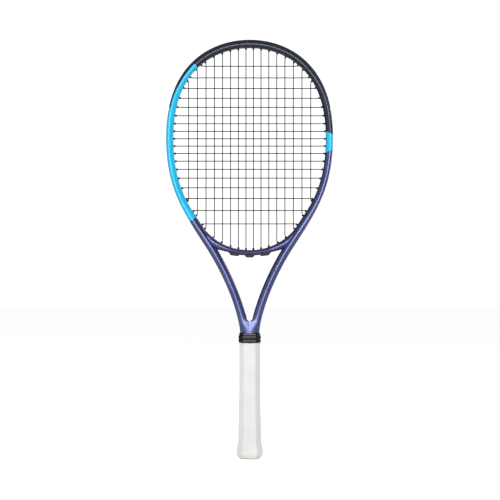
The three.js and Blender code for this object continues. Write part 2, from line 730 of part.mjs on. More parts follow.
function stapleSolid(side, grow) {
  const { z, halfSpan, wire, reach, proud } = STAPLE;
  const x = HANDLE.halfWidth + flare(z);
  const [low, high] = [z - wire / 2 - grow, z + wire / 2 + grow];
  const bar = (innerX, outerX, fromY, toY) => boxSolid(
    [innerX - grow, fromY - grow, low],
    [outerX + grow, toY + grow, high],
  );
  const crown = bar(x + proud - wire, x + proud, -halfSpan, halfSpan);
  const legs = [bar(x - reach, x, halfSpan - wire, halfSpan), bar(x - reach, x, -halfSpan, wire - halfSpan)];
  const staple = joinAll([crown, ...legs]);
  return side > 0 ? staple : staple.mirror([1, 0, 0]);
}

function tackSolid(grow) {
  const { z, sink, headRadius, headThickness, shankRadius, length } = TACK;
  const y = -HANDLE.halfDepth - flare(z) + sink;
  const at = (depth) => new THREE.Vector3(0, y + depth, z);
  const shank = barSolid(at(0), at(length + grow), shankRadius + grow, 8);
  return shank.add(barSolid(at(-grow), at(headThickness + grow), headRadius + grow, 10));
}

function pallet(side) {
  const block = prism(CAP.ledge, CAP.top + 0.5, -CAP.wall - GAP).add(prism(CAP.top + GAP, HANDLE.top, 0));
  const reach = 2 * HANDLE.halfDepth;
  const [nearY, farY] = side < 0 ? [-reach, -GAP / 2] : [GAP / 2, reach];
  const half = boxSolid([-reach, nearY, 0], [reach, farY, HANDLE.top + 1]);
  const stems = [frameHalf(1, FRAME_CLEARANCE), frameHalf(-1, FRAME_CLEARANCE)];
  const staples = [stapleSolid(1, GAP), stapleSolid(-1, GAP)];
  return geometryOf(cutAll(block.intersect(half), [...stems, ...staples]));
}

const DOOR_HINGE = { y: DOOR.depth / 2 - DOOR.pin, z: DOOR.recess + DOOR.thickness / 2 };

function hingePin(grow, reach) {
  const { y, z } = DOOR_HINGE;
  return barSolid(new THREE.Vector3(-reach, y, z), new THREE.Vector3(reach, y, z), DOOR.pin + grow, 12);
}

function buttCap() {
  const heights = [3, 6, 10, 16, 22, 28, 34, CAP.top];
  const base = octagon(0, CAP_FOOT.halfWidth, CAP_FOOT.halfDepth);
  const edge = octagon(CAP_FOOT.edge, CAP_FOOT.edgeHalfWidth, CAP_FOOT.edgeHalfDepth);
  const body = solid(loft([base, edge, ...heights.map((z) => handleRing(z, flare(z)))]));
  const socket = prism(CAP.ledge - GAP, CAP.top + 5, -CAP.wall);
  const [halfX, halfY] = [DOOR.width / 2, DOOR.depth / 2];
  const room = boxSolid(
    [-halfX + ROOM.side, -halfY + ROOM.front, -OUT],
    [halfX - ROOM.side, halfY - ROOM.back, CAP.ledge + OUT],
  );
  const rebate = boxSolid(
    [-halfX - DOOR.gap, -halfY - DOOR.gap, -OUT],
    [halfX + DOOR.gap, halfY + DOOR.gap, DOOR.recess + DOOR.thickness + GAP],
  );
  const seatReach = halfX + DOOR.stud + GAP;
  const pinSeat = hingePin(GAP, seatReach);
  const seatMouth = boxSolid(
    [-seatReach, DOOR_HINGE.y - DOOR.pin - GAP, -OUT],
    [seatReach, DOOR_HINGE.y + DOOR.pin + GAP, DOOR_HINGE.z],
  );
  const fasteners = [stapleSolid(1, GAP), stapleSolid(-1, GAP), tackSolid(GAP)];
  return geometryOf(cutAll(body, [socket, room, rebate, pinSeat, seatMouth, ...fasteners]));
}

// The door turns on round studs moulded on its two ends.
function trapDoor() {
  const [halfX, halfY] = [DOOR.width / 2, DOOR.depth / 2];
  const { y, z } = DOOR_HINGE;
  const leaf = boxSolid([-halfX, -halfY, DOOR.recess], [halfX, y, DOOR.recess + DOOR.thickness]);
  const [start, end] = [-halfX, halfX].map((x) => new THREE.Vector3(x, y, z));
  const knuckle = barSolid(start, end, DOOR.thickness / 2, 12);
  return geometryOf(joinAll([leaf, knuckle, hingePin(0, halfX + DOOR.stud)]));
}

// Skin of one thickness that runs over a straight or flared length of the handle.
function wrap(heights, gap, thickness, flareAt) {
  const outer = heights.map((z) => handleRing(z, flareAt(z) + gap + thickness));
  const inner = heights.map((z) => handleRing(z, flareAt(z) + gap)).reverse();
  return sleeve([...outer, ...inner]);
}

function rubberCollar() {
  return sleeve(COLLAR_PROFILE.map(([z, halfWidth, half]) => octagon(z, halfWidth, half)));
}

// ---------------------------------------------------------------- assembly
const racket = new THREE.Group();

function add(name, geometry, finish) {
  const mesh = new THREE.Mesh(geometry, finish);
  mesh.name = name;
  racket.add(mesh);
}

add('frame_hairpin', frameHairpin(), navyPaint);
add('throat_bridge', throatBridge(), navyPaint);
add('bumper_guard', bumperGuard(), blackNylon);
add('left_grommet_strip', grommetStrip(-1), blackNylon);
add('right_grommet_strip', grommetStrip(1), blackNylon);
add('throat_grommet_strip', throatGrommetStrip(), blackNylon);
add('main_string', mainString(), stringMaterial);
add('cross_string', crossString(), stringMaterial);
add('front_pallet', pallet(-1), palletFoam);
add('back_pallet', pallet(1), palletFoam);
add('butt_cap', buttCap(), whitePlastic);
add('trap_door', trapDoor(), whitePlastic);
add('left_butt_staple', geometryOf(stapleSolid(-1, 0)), steel);
add('right_butt_staple', geometryOf(stapleSolid(1, 0)), steel);
add('grip_tack', geometryOf(tackSolid(0)), steel);
add('grip', wrap(GRIP_HEIGHTS, GAP, GRIP.thickness, flare), gripWhite);
add('finishing_tape', wrap([TAPE.bottom, TAPE.top], GAP, TAPE.thickness, () => 0), tapeWhite);
add('rubber_collar', rubberCollar(), collarRubber);

export default racket;
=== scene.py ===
"""Looks of a tennis racket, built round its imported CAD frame.

Sizes are in metres, in the frame of the CAD model: +Z along the racket, X across the string bed
and Y through it. The front of the racket faces -Y.
"""

import math

import bmesh
import bpy
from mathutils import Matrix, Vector


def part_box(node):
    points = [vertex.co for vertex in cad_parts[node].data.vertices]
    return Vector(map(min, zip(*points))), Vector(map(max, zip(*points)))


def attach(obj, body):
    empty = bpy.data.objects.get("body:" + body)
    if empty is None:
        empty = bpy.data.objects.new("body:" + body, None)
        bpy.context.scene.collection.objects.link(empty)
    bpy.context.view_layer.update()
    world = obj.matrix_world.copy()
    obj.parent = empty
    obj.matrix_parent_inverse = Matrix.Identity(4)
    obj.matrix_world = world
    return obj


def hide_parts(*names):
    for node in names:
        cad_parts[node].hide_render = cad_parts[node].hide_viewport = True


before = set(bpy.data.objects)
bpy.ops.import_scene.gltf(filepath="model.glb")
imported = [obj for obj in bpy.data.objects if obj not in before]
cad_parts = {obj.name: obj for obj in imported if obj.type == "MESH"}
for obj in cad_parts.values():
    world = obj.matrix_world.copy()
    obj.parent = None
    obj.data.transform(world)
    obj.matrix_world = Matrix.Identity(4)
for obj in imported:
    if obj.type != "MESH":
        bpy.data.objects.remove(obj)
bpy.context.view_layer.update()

MM = 0.001

# ------------ driving dimensions
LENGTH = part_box("bumper_guard")[1].z - 0.3 * MM
HEAD_HALF_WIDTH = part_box("frame_hairpin")[1].x
HEAD_WIDEST_Z = 526 * MM
THROAT = (70.8 * MM, 344.6 * MM)
THROAT_LEAN = math.radians(32.8)
NECK = (15.3 * MM, 200 * MM)

HOOP_WIDTH = 12 * MM
TIP_EXTRA_WIDTH = 0.9 * MM
SHAFT_WIDTH = 14.5 * MM
BEAM_HALF_DEPTH = 11.5 * MM
BEAM_SWELL = 1.4 * MM

# The ridge is the deepest line of the tube; its place is a share of the tube's width.
SHAFT_RIDGE = 0.5
HOOP_RIDGE = 0.38
TIP_RIDGE_SHIFT = 2.7 * MM

# Heights between which one shape of the tube passes into the next.
SHAFT_TO_HOOP = (370 * MM, 430 * MM)
RIDGE_TO_HOOP = (340 * MM, 430 * MM)
RIDGE_TO_TIP = (590 * MM, 640 * MM)
WIDTH_TO_TIP = (600 * MM, LENGTH)
BEAM_DEEPENS = (215 * MM, 320 * MM)
BEAM_THINS = (420 * MM, 620 * MM)
SECTION_TURNS = (232 * MM, 275 * MM)

CROTCH_RADIUS = 4.8 * MM
CROTCH_RIDGE_FOOT = 207.5 * MM
CROTCH_RIDGE_SLOPE = 0.7
CROTCH_BLEND = 12 * MM
VALLEY_DROP = 0.14
VALLEY_REACH = 9 * MM  # distance between ridge and middle at which the valley is fully deep
VALLEY_FLOOR = 0.6
VALLEY_ENDS = (221 * MM, 243 * MM)

CHANNEL_DEPTH = 3.2 * MM
CHANNEL_HALF_WIDTH = 3.9 * MM
STRIP_FLOOR = 1.9 * MM
THROAT_STRIP_FLOOR = 0.6 * MM
THROAT_STRIP_REACH = 37 * MM

BRIDGE_TOP = 342 * MM
BRIDGE_BOTTOM = 334.8 * MM
UNDERSIDE_RADIUS = 180 * MM
BRIDGE_HALF_DEPTH = 10 * MM
BRIDGE_END_HALF_DEPTH = 12.2 * MM
BRIDGE_FOOT_REACH = 66 * MM

STRING_RADIUS = 0.8 * MM
STRING_DEPTH = 0.95 * MM
LOOP_SHIFT = 1.75 * MM  # sideways step of a loop that passes other holes in the groove
WEAVE = STRING_RADIUS
MAINS = [x * MM for x in (6.1, 18.5, 31.3, 44.4, 57.8, 71.6, 85.7, 100.1)]
BRIDGE_MAINS = 3
FORK_REACH = 64 * MM  # mains further out than this go through the hoop alone
CROSS_COUNT = 18
CROSS_PITCH = 12 * MM
CROSS_MIDDLE = (9.6, 517 * MM)  # place in the row, counted from the tip, and its height
CROSS_SPREAD = (0.036 * MM, 0.0533 * MM)  # how the pitch grows above and below the middle
BARREL_RADIUS = 1.8 * MM
BARREL_PROUD = 2.75 * MM

GUARD_TIP_Z = 572 * MM
GUARD_FULL_Z = 640 * MM
GUARD_INSET = 1.2 * MM  # the tube's outer wall stands back this far under the guard
GUARD_INSET_FADES = (3.2 * MM, 4.8 * MM)

HANDLE_HALF_WIDTH = 15.3 * MM
HANDLE_HALF_DEPTH = 13.35 * MM
FRONT_FLAT = 8.2 / 15.3
SIDE_FLAT = 6.6 / 13.35
GRIP_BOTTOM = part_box("grip")[0].z
GRIP_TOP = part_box("grip")[1].z
COLLAR_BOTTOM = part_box("rubber_collar")[0].z


# ------------ small maths
def lerp(a, b, t):
    return a + (b - a) * t


def smooth(value, low, high):
    """0 below low, 1 above high and an even curve between them."""
    t = min(max((value - low) / (high - low), 0), 1)
    return t * t * (3 - 2 * t)


def crossing(low, high, falling):
    """Value between low and high at which a falling function crosses zero."""
    for _ in range(40):
        middle = (low + high) / 2
        if falling(middle) > 0:
            low = middle
        else:
            high = middle
    return (low + high) / 2


class Bezier:
    """Cubic curve in the plane of the string bed."""

    def __init__(self, *points):
        self.points = [Vector(p) for p in points]

    def point(self, t):
        a, b, c, d = self.points
        s = 1 - t
        return a * s**3 + b * (3 * s * s * t) + c * (3 * s * t * t) + d * t**3

    def tangent(self, t):
        a, b, c, d = self.points
        s = 1 - t
        return ((b - a) * (s * s) + (c - b) * (2 * s * t) + (d - c) * (t * t)).normalized()


# ------------ outline of the frame
LEAN = Vector((math.sin(THROAT_LEAN), math.cos(THROAT_LEAN)))
THROAT_POINT = Vector(THROAT)
# Right half of the outer edge: tip to widest point, on to the throat, and down to the neck.
OUTLINE = [
    Bezier(
        (0, LENGTH),
        (57.8 * MM, LENGTH),
        (HEAD_HALF_WIDTH, HEAD_WIDEST_Z + 125.3 * MM),
        (HEAD_HALF_WIDTH, HEAD_WIDEST_Z),
    ),
    Bezier(
        (HEAD_HALF_WIDTH, HEAD_WIDEST_Z),
        (HEAD_HALF_WIDTH, HEAD_WIDEST_Z - 81.7 * MM),
        THROAT_POINT + LEAN * (74 * MM),
        THROAT_POINT,
    ),
    Bezier(
        THROAT_POINT,
        THROAT_POINT - LEAN * (60.2 * MM),
        (NECK[0], NECK[1] + 31.7 * MM),
        NECK,
    ),
]


class Place:
    """A place on the outline: its point and the direction into the frame."""

    def __init__(self, s=None, point=None, inward=None):
        self.s = s
        if point is None:
            index = min(int(s), len(OUTLINE) - 1)
            point = OUTLINE[index].point(s - index)
            tangent = OUTLINE[index].tangent(s - index)
            inward = Vector((tangent.y, -tangent.x))
        self.point = point
        self.inward = inward

    def plan(self, u):
        """Point of the string-bed plane at depth u under the outline."""
        return self.point + self.inward * u

    def at(self, u, v, side=1):
        """Space point at depth u under the outline and height v through the bed."""
        plan = self.plan(u)
        return Vector((side * plan.x, v, plan.y))


def solve(low, high, falling):
    """Place on the outline where a falling function of the place crosses zero."""
    return Place(crossing(low, high, lambda s: falling(Place(s))))


def place_at_height(z):
    return solve(0, 3, lambda place: place.point.y - z)


def frame_width(z):
    width = HOOP_WIDTH + TIP_EXTRA_WIDTH * smooth(z, *WIDTH_TO_TIP)
    width += (SHAFT_WIDTH - HOOP_WIDTH) * (1 - smooth(z, *SHAFT_TO_HOOP))
    return width


def ridge_depth(z):
    share = smooth(z, *RIDGE_TO_HOOP)
    ridge = lerp(SHAFT_RIDGE * SHAFT_WIDTH, HOOP_RIDGE * HOOP_WIDTH, share)
    return ridge + TIP_RIDGE_SHIFT * smooth(z, *RIDGE_TO_TIP)


def half_depth(z):
    """Half the depth of the tube through the string bed, at its ridge."""
    swell = smooth(z, *BEAM_DEEPENS) * (1 - smooth(z, *BEAM_THINS))
    return BEAM_HALF_DEPTH + BEAM_SWELL * swell


# ------------ holes for the strings
BRIDGE_CURVE = Bezier(
    (0, BRIDGE_TOP),
    (32 * MM, BRIDGE_TOP),
    (58 * MM, BRIDGE_TOP + 14 * MM),
    (76 * MM, BRIDGE_TOP + 37 * MM),
)


def bridge_top_at(x):
    share = crossing(0, 1, lambda t: x - BRIDGE_CURVE.point(t).x)
    return BRIDGE_CURVE.point(share).y


def underside_place(x):
    """Place on the arc under the bridge, where the throat strip lies."""
    centre = Vector((0, BRIDGE_BOTTOM + UNDERSIDE_RADIUS))
    point = Vector((x, centre.y - math.sqrt(UNDERSIDE_RADIUS**2 - x * x)))
    return Place(point=point, inward=(centre - point).normalized())


class Hole:
    """A string hole: its place, the depth of the barrel's mouth and what it goes through."""

    def __init__(self, place, mouth, where):
        self.place = place
        self.mouth = mouth
        self.where = where


def mouth_depth(place):
    return frame_width(place.point.y) + BARREL_PROUD


def top_main_hole(x):
    place = solve(0, 1, lambda p: x - p.plan(mouth_depth(p)).x)
    return Hole(place, mouth_depth(place), "hoop")


def bottom_main_hole(x, index):
    """Hole in the bridge, in the hoop, or in the fork where the two meet."""
    if index < BRIDGE_MAINS:
        place = Place(point=underside_place(x).point, inward=Vector((0, 1)))
        return Hole(place, bridge_top_at(x) - place.point.y + BARREL_PROUD, "bridge")
    hoop = solve(1, 2, lambda p: p.plan(mouth_depth(p)).x - x)
    bridge_mouth = bridge_top_at(x) + BARREL_PROUD
    if x > FORK_REACH or hoop.plan(mouth_depth(hoop)).y > bridge_mouth:
        return Hole(hoop, mouth_depth(hoop), "hoop")

    def depth_to(place):
        return (x - place.point.x) / place.inward.x

    fork = solve(1.5, 2.4, lambda p: p.plan(depth_to(p)).y - bridge_mouth)
    return Hole(fork, depth_to(fork), "fork")


def cross_hole(z):
    place = solve(0, 2, lambda p: p.plan(mouth_depth(p)).y - z)
    return Hole(place, mouth_depth(place), "hoop")


def cross_height(index):
    step = index - CROSS_MIDDLE[0]
    spread = CROSS_SPREAD[0] if step < 0 else CROSS_SPREAD[1]
    return CROSS_MIDDLE[1] - CROSS_PITCH * step - spread * step**3


TOP_MAINS = [top_main_hole(x) for x in MAINS]
BOTTOM_MAINS = [bottom_main_hole(x, i) for i, x in enumerate(MAINS)]
CROSS_HEIGHTS = [cross_height(i + 1) for i in range(CROSS_COUNT)]
CROSS_HOLES = [cross_hole(z) for z in CROSS_HEIGHTS]
HOOP_HOLES = [h for h in TOP_MAINS + BOTTOM_MAINS + CROSS_HOLES if h.where != "bridge"]
GUARD_TIP = place_at_height(GUARD_TIP_Z)
STRIP_START = place_at_height(GUARD_TIP_Z - 3 * MM)
STRIP_END = Place(BOTTOM_MAINS[BRIDGE_MAINS].place.s + 0.08)


# ------------ mesh helpers
def shade(mesh, sharp_degrees):
    for polygon in mesh.polygons:
        polygon.use_smooth = True
    mesh.set_sharp_from_angle(angle=math.radians(sharp_degrees))


def add_loft(bm, rings, closed=False, caps=True):
    """Skin over a row of rings that all have the same number of points."""
    rows = [[bm.verts.new(p) for p in ring] for ring in rings]
    if closed:
        rows.append(rows[0])
    size = len(rows[0])
    for here, there in zip(rows, rows[1:]):
        for i in range(size):
            j = (i + 1) % size
            bm.faces.new((here[i], here[j], there[j], there[i]))
    if caps and not closed:
        bm.faces.new(list(reversed(rows[0])))
        bm.faces.new(rows[-1])


def new_object(bm, name):
    """Object in the scene made of the working mesh, with its faces turned outwards."""
    bmesh.ops.recalc_face_normals(bm, faces=bm.faces)
    mesh = bpy.data.meshes.new(name)
    bm.to_mesh(mesh)
    bm.free()
    result = bpy.data.objects.new(name, mesh)
    bpy.context.scene.collection.objects.link(result)
    return result


def new_piece(bm, name, sharp_degrees=35, body="racket"):
    """Shaded piece that rides on a body of the model."""
    piece = new_object(bm, name)
    shade(piece.data, sharp_degrees)
    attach(piece, body)
    return piece


def circle_section(radius, count):
    angles = [2 * math.pi * i / count for i in range(count)]
    return [(radius * math.cos(a), radius * math.sin(a)) for a in angles]


def tube_rings(path, radius, count):
    """Rings along a path, turned with it without twist."""
    points = [Vector(p) for p in path]
    circle = circle_section(radius, count)
    legs = [(b - a).normalized() for a, b in zip(points, points[1:])]
    tangents = [legs[0]] + [(a + b).normalized() for a, b in zip(legs, legs[1:])] + [legs[-1]]
    helper = Vector((0, 1, 0)) if abs(tangents[0].y) < 0.9 else Vector((1, 0, 0))
    normal = tangents[0].cross(helper).normalized()
    rings = []
    for point, tangent in zip(points, tangents):
        normal = (normal - tangent * normal.dot(tangent)).normalized()
        side = tangent.cross(normal)
        rings.append([point + normal * x + side * y for x, y in circle])
    return rings


def corner_curve(start, corner, end, steps):
    shares = [i / steps for i in range(steps + 1)]
    return [start * (1 - t) ** 2 + corner * (2 * t * (1 - t)) + end * t * t for t in shares]


def rounded(path, radius, steps):
    """The path with each corner rounded by a short curve."""
    points = [Vector(p) for p in path]
    result = [points[0]]
    for before, corner, after in zip(points, points[1:], points[2:]):
        to_before = before - corner
        to_after = after - corner
        if to_before.angle(-to_after, 0) < math.radians(4):
            result.append(corner)
            continue
        reach = min(radius, 0.45 * to_before.length, 0.45 * to_after.length)
        start = corner + to_before.normalized() * reach
        end = corner + to_after.normalized() * reach
        result += corner_curve(start, corner, end, steps)
    result.append(points[-1])
    return result


def hoop_places(low, high, count):
    return [Place(lerp(low, high, i / count)) for i in range(count + 1)]


def level_ring(outline, z):
    return [Vector((p.x, p.y, z)) for p in outline]


def mirrored(upper):
    """Whole section from its upper half, given as (depth, height) pairs."""
    return list(upper) + [(u, -v) for u, v in reversed(upper)]


# ------------ material helpers
class Nodes:
    """A node material with short calls for its nodes."""

    def __init__(self, name):
        self.material = bpy.data.materials.new(name)
        self.material.use_nodes = True
        self.tree = self.material.node_tree
        self.shader = self.tree.nodes["Principled BSDF"]
        self.coordinates = self.tree.nodes.new("ShaderNodeTexCoord").outputs["Object"]

    def link(self, value, socket):
        if isinstance(value, bpy.types.NodeSocket):
            self.tree.links.new(value, socket)
        else:
            socket.default_value = value

    def math(self, operation, a, b=0.0, clamp=False):
        node = self.tree.nodes.new("ShaderNodeMath")
        node.operation = operation
        node.use_clamp = clamp
        for value, socket in zip((a, b), node.inputs):
            self.link(value, socket)
        return node.outputs[0]

    def xyz(self):
        node = self.tree.nodes.new("ShaderNodeSeparateXYZ")
        self.link(self.coordinates, node.inputs[0])
        return node.outputs

    def mix(self, factor, a, b):
        node = self.tree.nodes.new("ShaderNodeMix")
        node.data_type = "RGBA"
        self.link(factor, node.inputs["Factor"])
        self.link(a, node.inputs[6])
        self.link(b, node.inputs[7])
        return node.outputs[2]

    def noise(self, scale, detail=2.0, stretch=None):
        node = self.tree.nodes.new("ShaderNodeTexNoise")
        vector = self.coordinates
        if stretch:
            mapping = self.tree.nodes.new("ShaderNodeMapping")
            self.link(vector, mapping.inputs["Vector"])
            mapping.inputs["Scale"].default_value = stretch
            vector = mapping.outputs[0]
        self.link(vector, node.inputs["Vector"])
        node.inputs["Scale"].default_value = scale
        node.inputs["Detail"].default_value = detail
        return node.outputs["Fac"]

    def voronoi(self, scale, output="Color"):
        node = self.tree.nodes.new("ShaderNodeTexVoronoi")
        self.link(self.coordinates, node.inputs["Vector"])
        node.inputs["Scale"].default_value = scale
        return node.outputs[output]

    def range(self, value, from_low, from_high, to_low, to_high):
        node = self.tree.nodes.new("ShaderNodeMapRange")
        for socket, item in zip(node.inputs, (value, from_low, from_high, to_low, to_high)):
            self.link(item, socket)
        return node.outputs[0]

    def bump(self, height, strength, distance):
        node = self.tree.nodes.new("ShaderNodeBump")
        self.link(height, node.inputs["Height"])
        node.inputs["Strength"].default_value = strength
        node.inputs["Distance"].default_value = distance
        self.link(node.outputs[0], self.shader.inputs["Normal"])

    def set(self, **values):
        for name, value in values.items():
            self.link(value, self.shader.inputs[name.replace("_", " ")])


def srgb(red, green, blue):
    def linear(value):
        value /= 255
        return value / 12.92 if value <= 0.04045 else ((value + 0.055) / 1.055) ** 2.4

    return (linear(red), linear(green), linear(blue), 1)


# ------------ materials
EDGE = 0.25 * MM  # softness of a painted edge


def beyond(nodes, point, direction):
    """1 past the line through a point of the string-bed plane, in the given direction, else 0."""
    x, _, z = nodes.xyz()
    length = math.hypot(*direction)
    dx, dz = direction[0] / length, direction[1] / length
    distance = nodes.math("ADD", nodes.math("MULTIPLY", x, dx), nodes.math("MULTIPLY", z, dz))
    start = point[0] * dx + point[1] * dz
    return nodes.range(distance, start - EDGE, start + EDGE, 0.0, 1.0)


def both(nodes, *masks):
    result = masks[0]
    for mask in masks[1:]:
        result = nodes.math("MULTIPLY", result, mask)
    return result


NAVY = srgb(96, 106, 160)
NAVY_DEEP = srgb(82, 90, 146)
CYAN = srgb(30, 205, 255)
CHARCOAL = srgb(62, 68, 82)
# Purple of the painted sheen laid on the bridge's upward-facing faces
PAINTED_SHEEN_PURPLE = srgb(150, 118, 190)
TEAL = srgb(60, 130, 140)
COAT_WEIGHT = 1.0
COAT_ROUGHNESS = 0.27
THIN_COAT = 0.4  # share of the clear coat on the charcoal and the cyan

# Edges of the paint zones: a point (x, z) on the edge and the direction that lies inside.
LEFT_CYAN_TOP = ((-87 * MM, 642.6 * MM), (-0.75, -0.66))
LEFT_CYAN_FOOT = ((-93 * MM, 391.5 * MM), (-0.5, 0.86))
LEFT_OF_MIDDLE = ((0, 0), (-1, 0))
RIGHT_CYAN_TOP = ((125 * MM, 536 * MM), (-0.47, -1))
RIGHT_CYAN_FOOT = ((125 * MM, 501.2 * MM), (-0.47, 1))
RIGHT_OF_MIDDLE = ((0, 0), (1, 0))
CHARCOAL_FOOT = ((0, 520 * MM), (0, 1))


def zone(nodes, *edges):
    return both(nodes, *[beyond(nodes, point, inside) for point, inside in edges])


def pearl_navy(nodes):
    """Navy that drifts slowly between two depths."""
    pearl = nodes.range(nodes.noise(26, 3), 0.35, 0.65, 0.0, 1.0)
    return nodes.mix(pearl, NAVY_DEEP, NAVY)


def lacquer(nodes, color, metallic, coat):
    """Metallic paint under a clear coat, with a faint ripple."""
    nodes.set(
        Base_Color=color,
        Metallic=metallic,
        Roughness=nodes.range(nodes.noise(60, 4), 0.0, 1.0, 0.42, 0.5),
        Coat_Weight=coat,
        Coat_Roughness=COAT_ROUGHNESS,
        Coat_IOR=1.5,
    )
    nodes.bump(nodes.noise(300, 2), 0.05, 0.02 * MM)
    return nodes.material


def frame_paint():
    """Clear-coated paint in zones: charcoal over the tip, cyan bands and pearl navy below."""
    nodes = Nodes("frame_paint")
    left_cyan = zone(nodes, LEFT_CYAN_TOP, LEFT_CYAN_FOOT, LEFT_OF_MIDDLE)
    right_cyan = zone(nodes, RIGHT_CYAN_TOP, RIGHT_CYAN_FOOT, RIGHT_OF_MIDDLE)
    not_left_cyan = nodes.math("SUBTRACT", 1.0, left_cyan)
    charcoal = both(nodes, zone(nodes, CHARCOAL_FOOT), not_left_cyan)
    flake = nodes.voronoi(5200)
    color = nodes.mix(charcoal, pearl_navy(nodes), CHARCOAL)
    cyan = nodes.math("ADD", left_cyan, right_cyan, clamp=True)
    color = nodes.mix(cyan, color, CYAN)
    thin_coat = nodes.math("ADD", charcoal, cyan, clamp=True)
    spark = nodes.tree.nodes.new("ShaderNodeSeparateColor")
    nodes.link(flake, spark.inputs[0])
    shine = nodes.range(spark.outputs[0], 0.0, 1.0, 0.9, 1.12)
    hsv = nodes.tree.nodes.new("ShaderNodeHueSaturation")
    nodes.link(color, hsv.inputs["Color"])
    nodes.link(shine, hsv.inputs["Value"])
    metallic = nodes.mix(cyan, (0.9, 0.9, 0.9, 1), (0.1, 0.1, 0.1, 1))
    coat = nodes.range(thin_coat, 0.0, 1.0, COAT_WEIGHT, THIN_COAT * COAT_WEIGHT)
    return lacquer(nodes, hsv.outputs[0], metallic, coat)


def bridge_paint():
    """The frame's navy with a painted purple sheen where it faces up, and a teal accent over the
    middle.
    """
    nodes = Nodes("bridge_paint")
    x, _, z = nodes.xyz()
    middle = nodes.range(nodes.math("ABSOLUTE", x), 4.6 * MM, 5.4 * MM, 1.0, 0.0)
    inner = nodes.range(z, BRIDGE_TOP - 2.6 * MM, BRIDGE_TOP - 2.2 * MM, 0.0, 1.0)
    color = pearl_navy(nodes)
    normal = nodes.tree.nodes.new("ShaderNodeNewGeometry").outputs["Normal"]
    facing = nodes.tree.nodes.new("ShaderNodeSeparateXYZ")
    nodes.link(normal, facing.inputs[0])
    # Painted sheen: faces that point up are tinted purple to stand in for light on them
    painted_sheen = nodes.range(facing.outputs["Z"], 0.25, 0.8, 0.0, 0.75)
    color = nodes.mix(painted_sheen, color, PAINTED_SHEEN_PURPLE)
    color = nodes.mix(both(nodes, middle, inner), color, TEAL)
    return lacquer(nodes, color, 0.9, COAT_WEIGHT)


def moulded(name, color, roughness, grain=700, strength=0.25, specular=0.5):
    """Moulded plastic or rubber with a fine grain and slightly uneven colour and gloss."""
    nodes = Nodes(name)
    cloud = nodes.range(nodes.noise(45, 4), 0.3, 0.7, 0.0, 1.0)
    darker = tuple(c * 0.8 for c in color[:3]) + (1,)
    nodes.set(
        Base_Color=nodes.mix(cloud, darker, color),
        Roughness=nodes.range(nodes.noise(160, 3), 0.0, 1.0, roughness - 0.07, roughness + 0.07),
        Specular_IOR_Level=specular,
    )
    nodes.bump(nodes.noise(grain, 3), strength, 0.08 * MM)
    return nodes.material


def string_material():
    """Smooth charcoal monofilament with faint drawing lines along it."""
    nodes = Nodes("string_monofilament")
    tone = nodes.range(nodes.noise(70, 2), 0.3, 0.7, 0.0, 1.0)
    nodes.set(
        Base_Color=nodes.mix(tone, srgb(22, 23, 26), srgb(36, 37, 41)),
        Roughness=0.55,
        Specular_IOR_Level=0.3,
    )
    nodes.bump(nodes.noise(2500, 2), 0.1, 0.02 * MM)
    return nodes.material


def grip_material():
    """Soft white synthetic leather with a fine pebble and faint handling marks."""
    nodes = Nodes("grip_leather")
    cloud = nodes.range(nodes.noise(30, 5), 0.3, 0.7, 0.0, 1.0)
    pebble = nodes.voronoi(1500, "Distance")
    nodes.set(
        Base_Color=nodes.mix(cloud, srgb(235, 234, 233), srgb(242, 242, 241)),
        Roughness=nodes.range(pebble, 0.0, 0.6, 0.58, 0.74),
        Sheen_Weight=0.15,
        Sheen_Roughness=0.5,
    )
    height = nodes.math("ADD", pebble, nodes.math("MULTIPLY", nodes.noise(420, 4), 0.8))
    nodes.bump(height, 0.25, 0.08 * MM)
    return nodes.material


def steel_material():
    nodes = Nodes("wire_steel")
    nodes.set(
        Base_Color=srgb(190, 192, 196),
        Metallic=1.0,
        Roughness=nodes.range(nodes.noise(900, 2, (1, 1, 20)), 0.0, 1.0, 0.22, 0.4),
    )
    nodes.bump(nodes.noise(1800, 2, (1, 1, 14)), 0.15, 0.02 * MM)
    return nodes.material


FRAME_PAINT = frame_paint()
BRIDGE_PAINT = bridge_paint()
BLACK_NYLON = moulded("black_nylon", srgb(22, 24, 29), 0.5, specular=0.3)
GUARD_NYLON = moulded("guard_nylon", srgb(46, 51, 62), 0.5)
STRING = string_material()
GRIP_LEATHER = grip_material()
COLLAR_RUBBER = moulded("collar_rubber", srgb(17, 19, 23), 0.38, 1100, 0.15, specular=0.38)
WHITE_PLASTIC = moulded("white_plastic", srgb(250, 247, 237), 0.38, 600, 0.12)
PALLET_FOAM = moulded("pallet_foam", srgb(196, 188, 170), 0.85, 320, 0.6)
TAPE_FILM = moulded("tape_film", srgb(228, 228, 228), 0.45, 500, 0.1)
STEEL = steel_material()


def paint(piece, material):
    piece.data.materials.clear()
    piece.data.materials.append(material)


# ------------ camera, lights and floor
RACKET_SHARE = 0.8364  # share of the picture's height that the racket fills
CAMERA_DISTANCE = 2.6
CAMERA_X = 0.5 * MM
CAMERA_Z = LENGTH / 2 - 1.1 * MM
FLOOR_Z = -0.5 * MM
# Strength of the white backdrop: as a light, less in glossy reflections, more to the camera.
BACKDROP_LIGHT = 0.25
BACKDROP_IN_GLOSS = -0.17
BACKDROP_SEEN = 0.9
FLOOR_GLOW = 0.78  # the camera sees the floor about as white as the backdrop


def aim(thing, target):
    thing.rotation_euler = (Vector(target) - thing.location).to_track_quat("-Z", "Y").to_euler()


def add_area(name, location, target, size, power):
    light = bpy.data.lights.new(name, "AREA")
    light.shape = "RECTANGLE"
    light.size, light.size_y = size
    light.energy = power
    lamp = bpy.data.objects.new(name, light)
    lamp.location = location
    bpy.context.scene.collection.objects.link(lamp)
    aim(lamp, target)


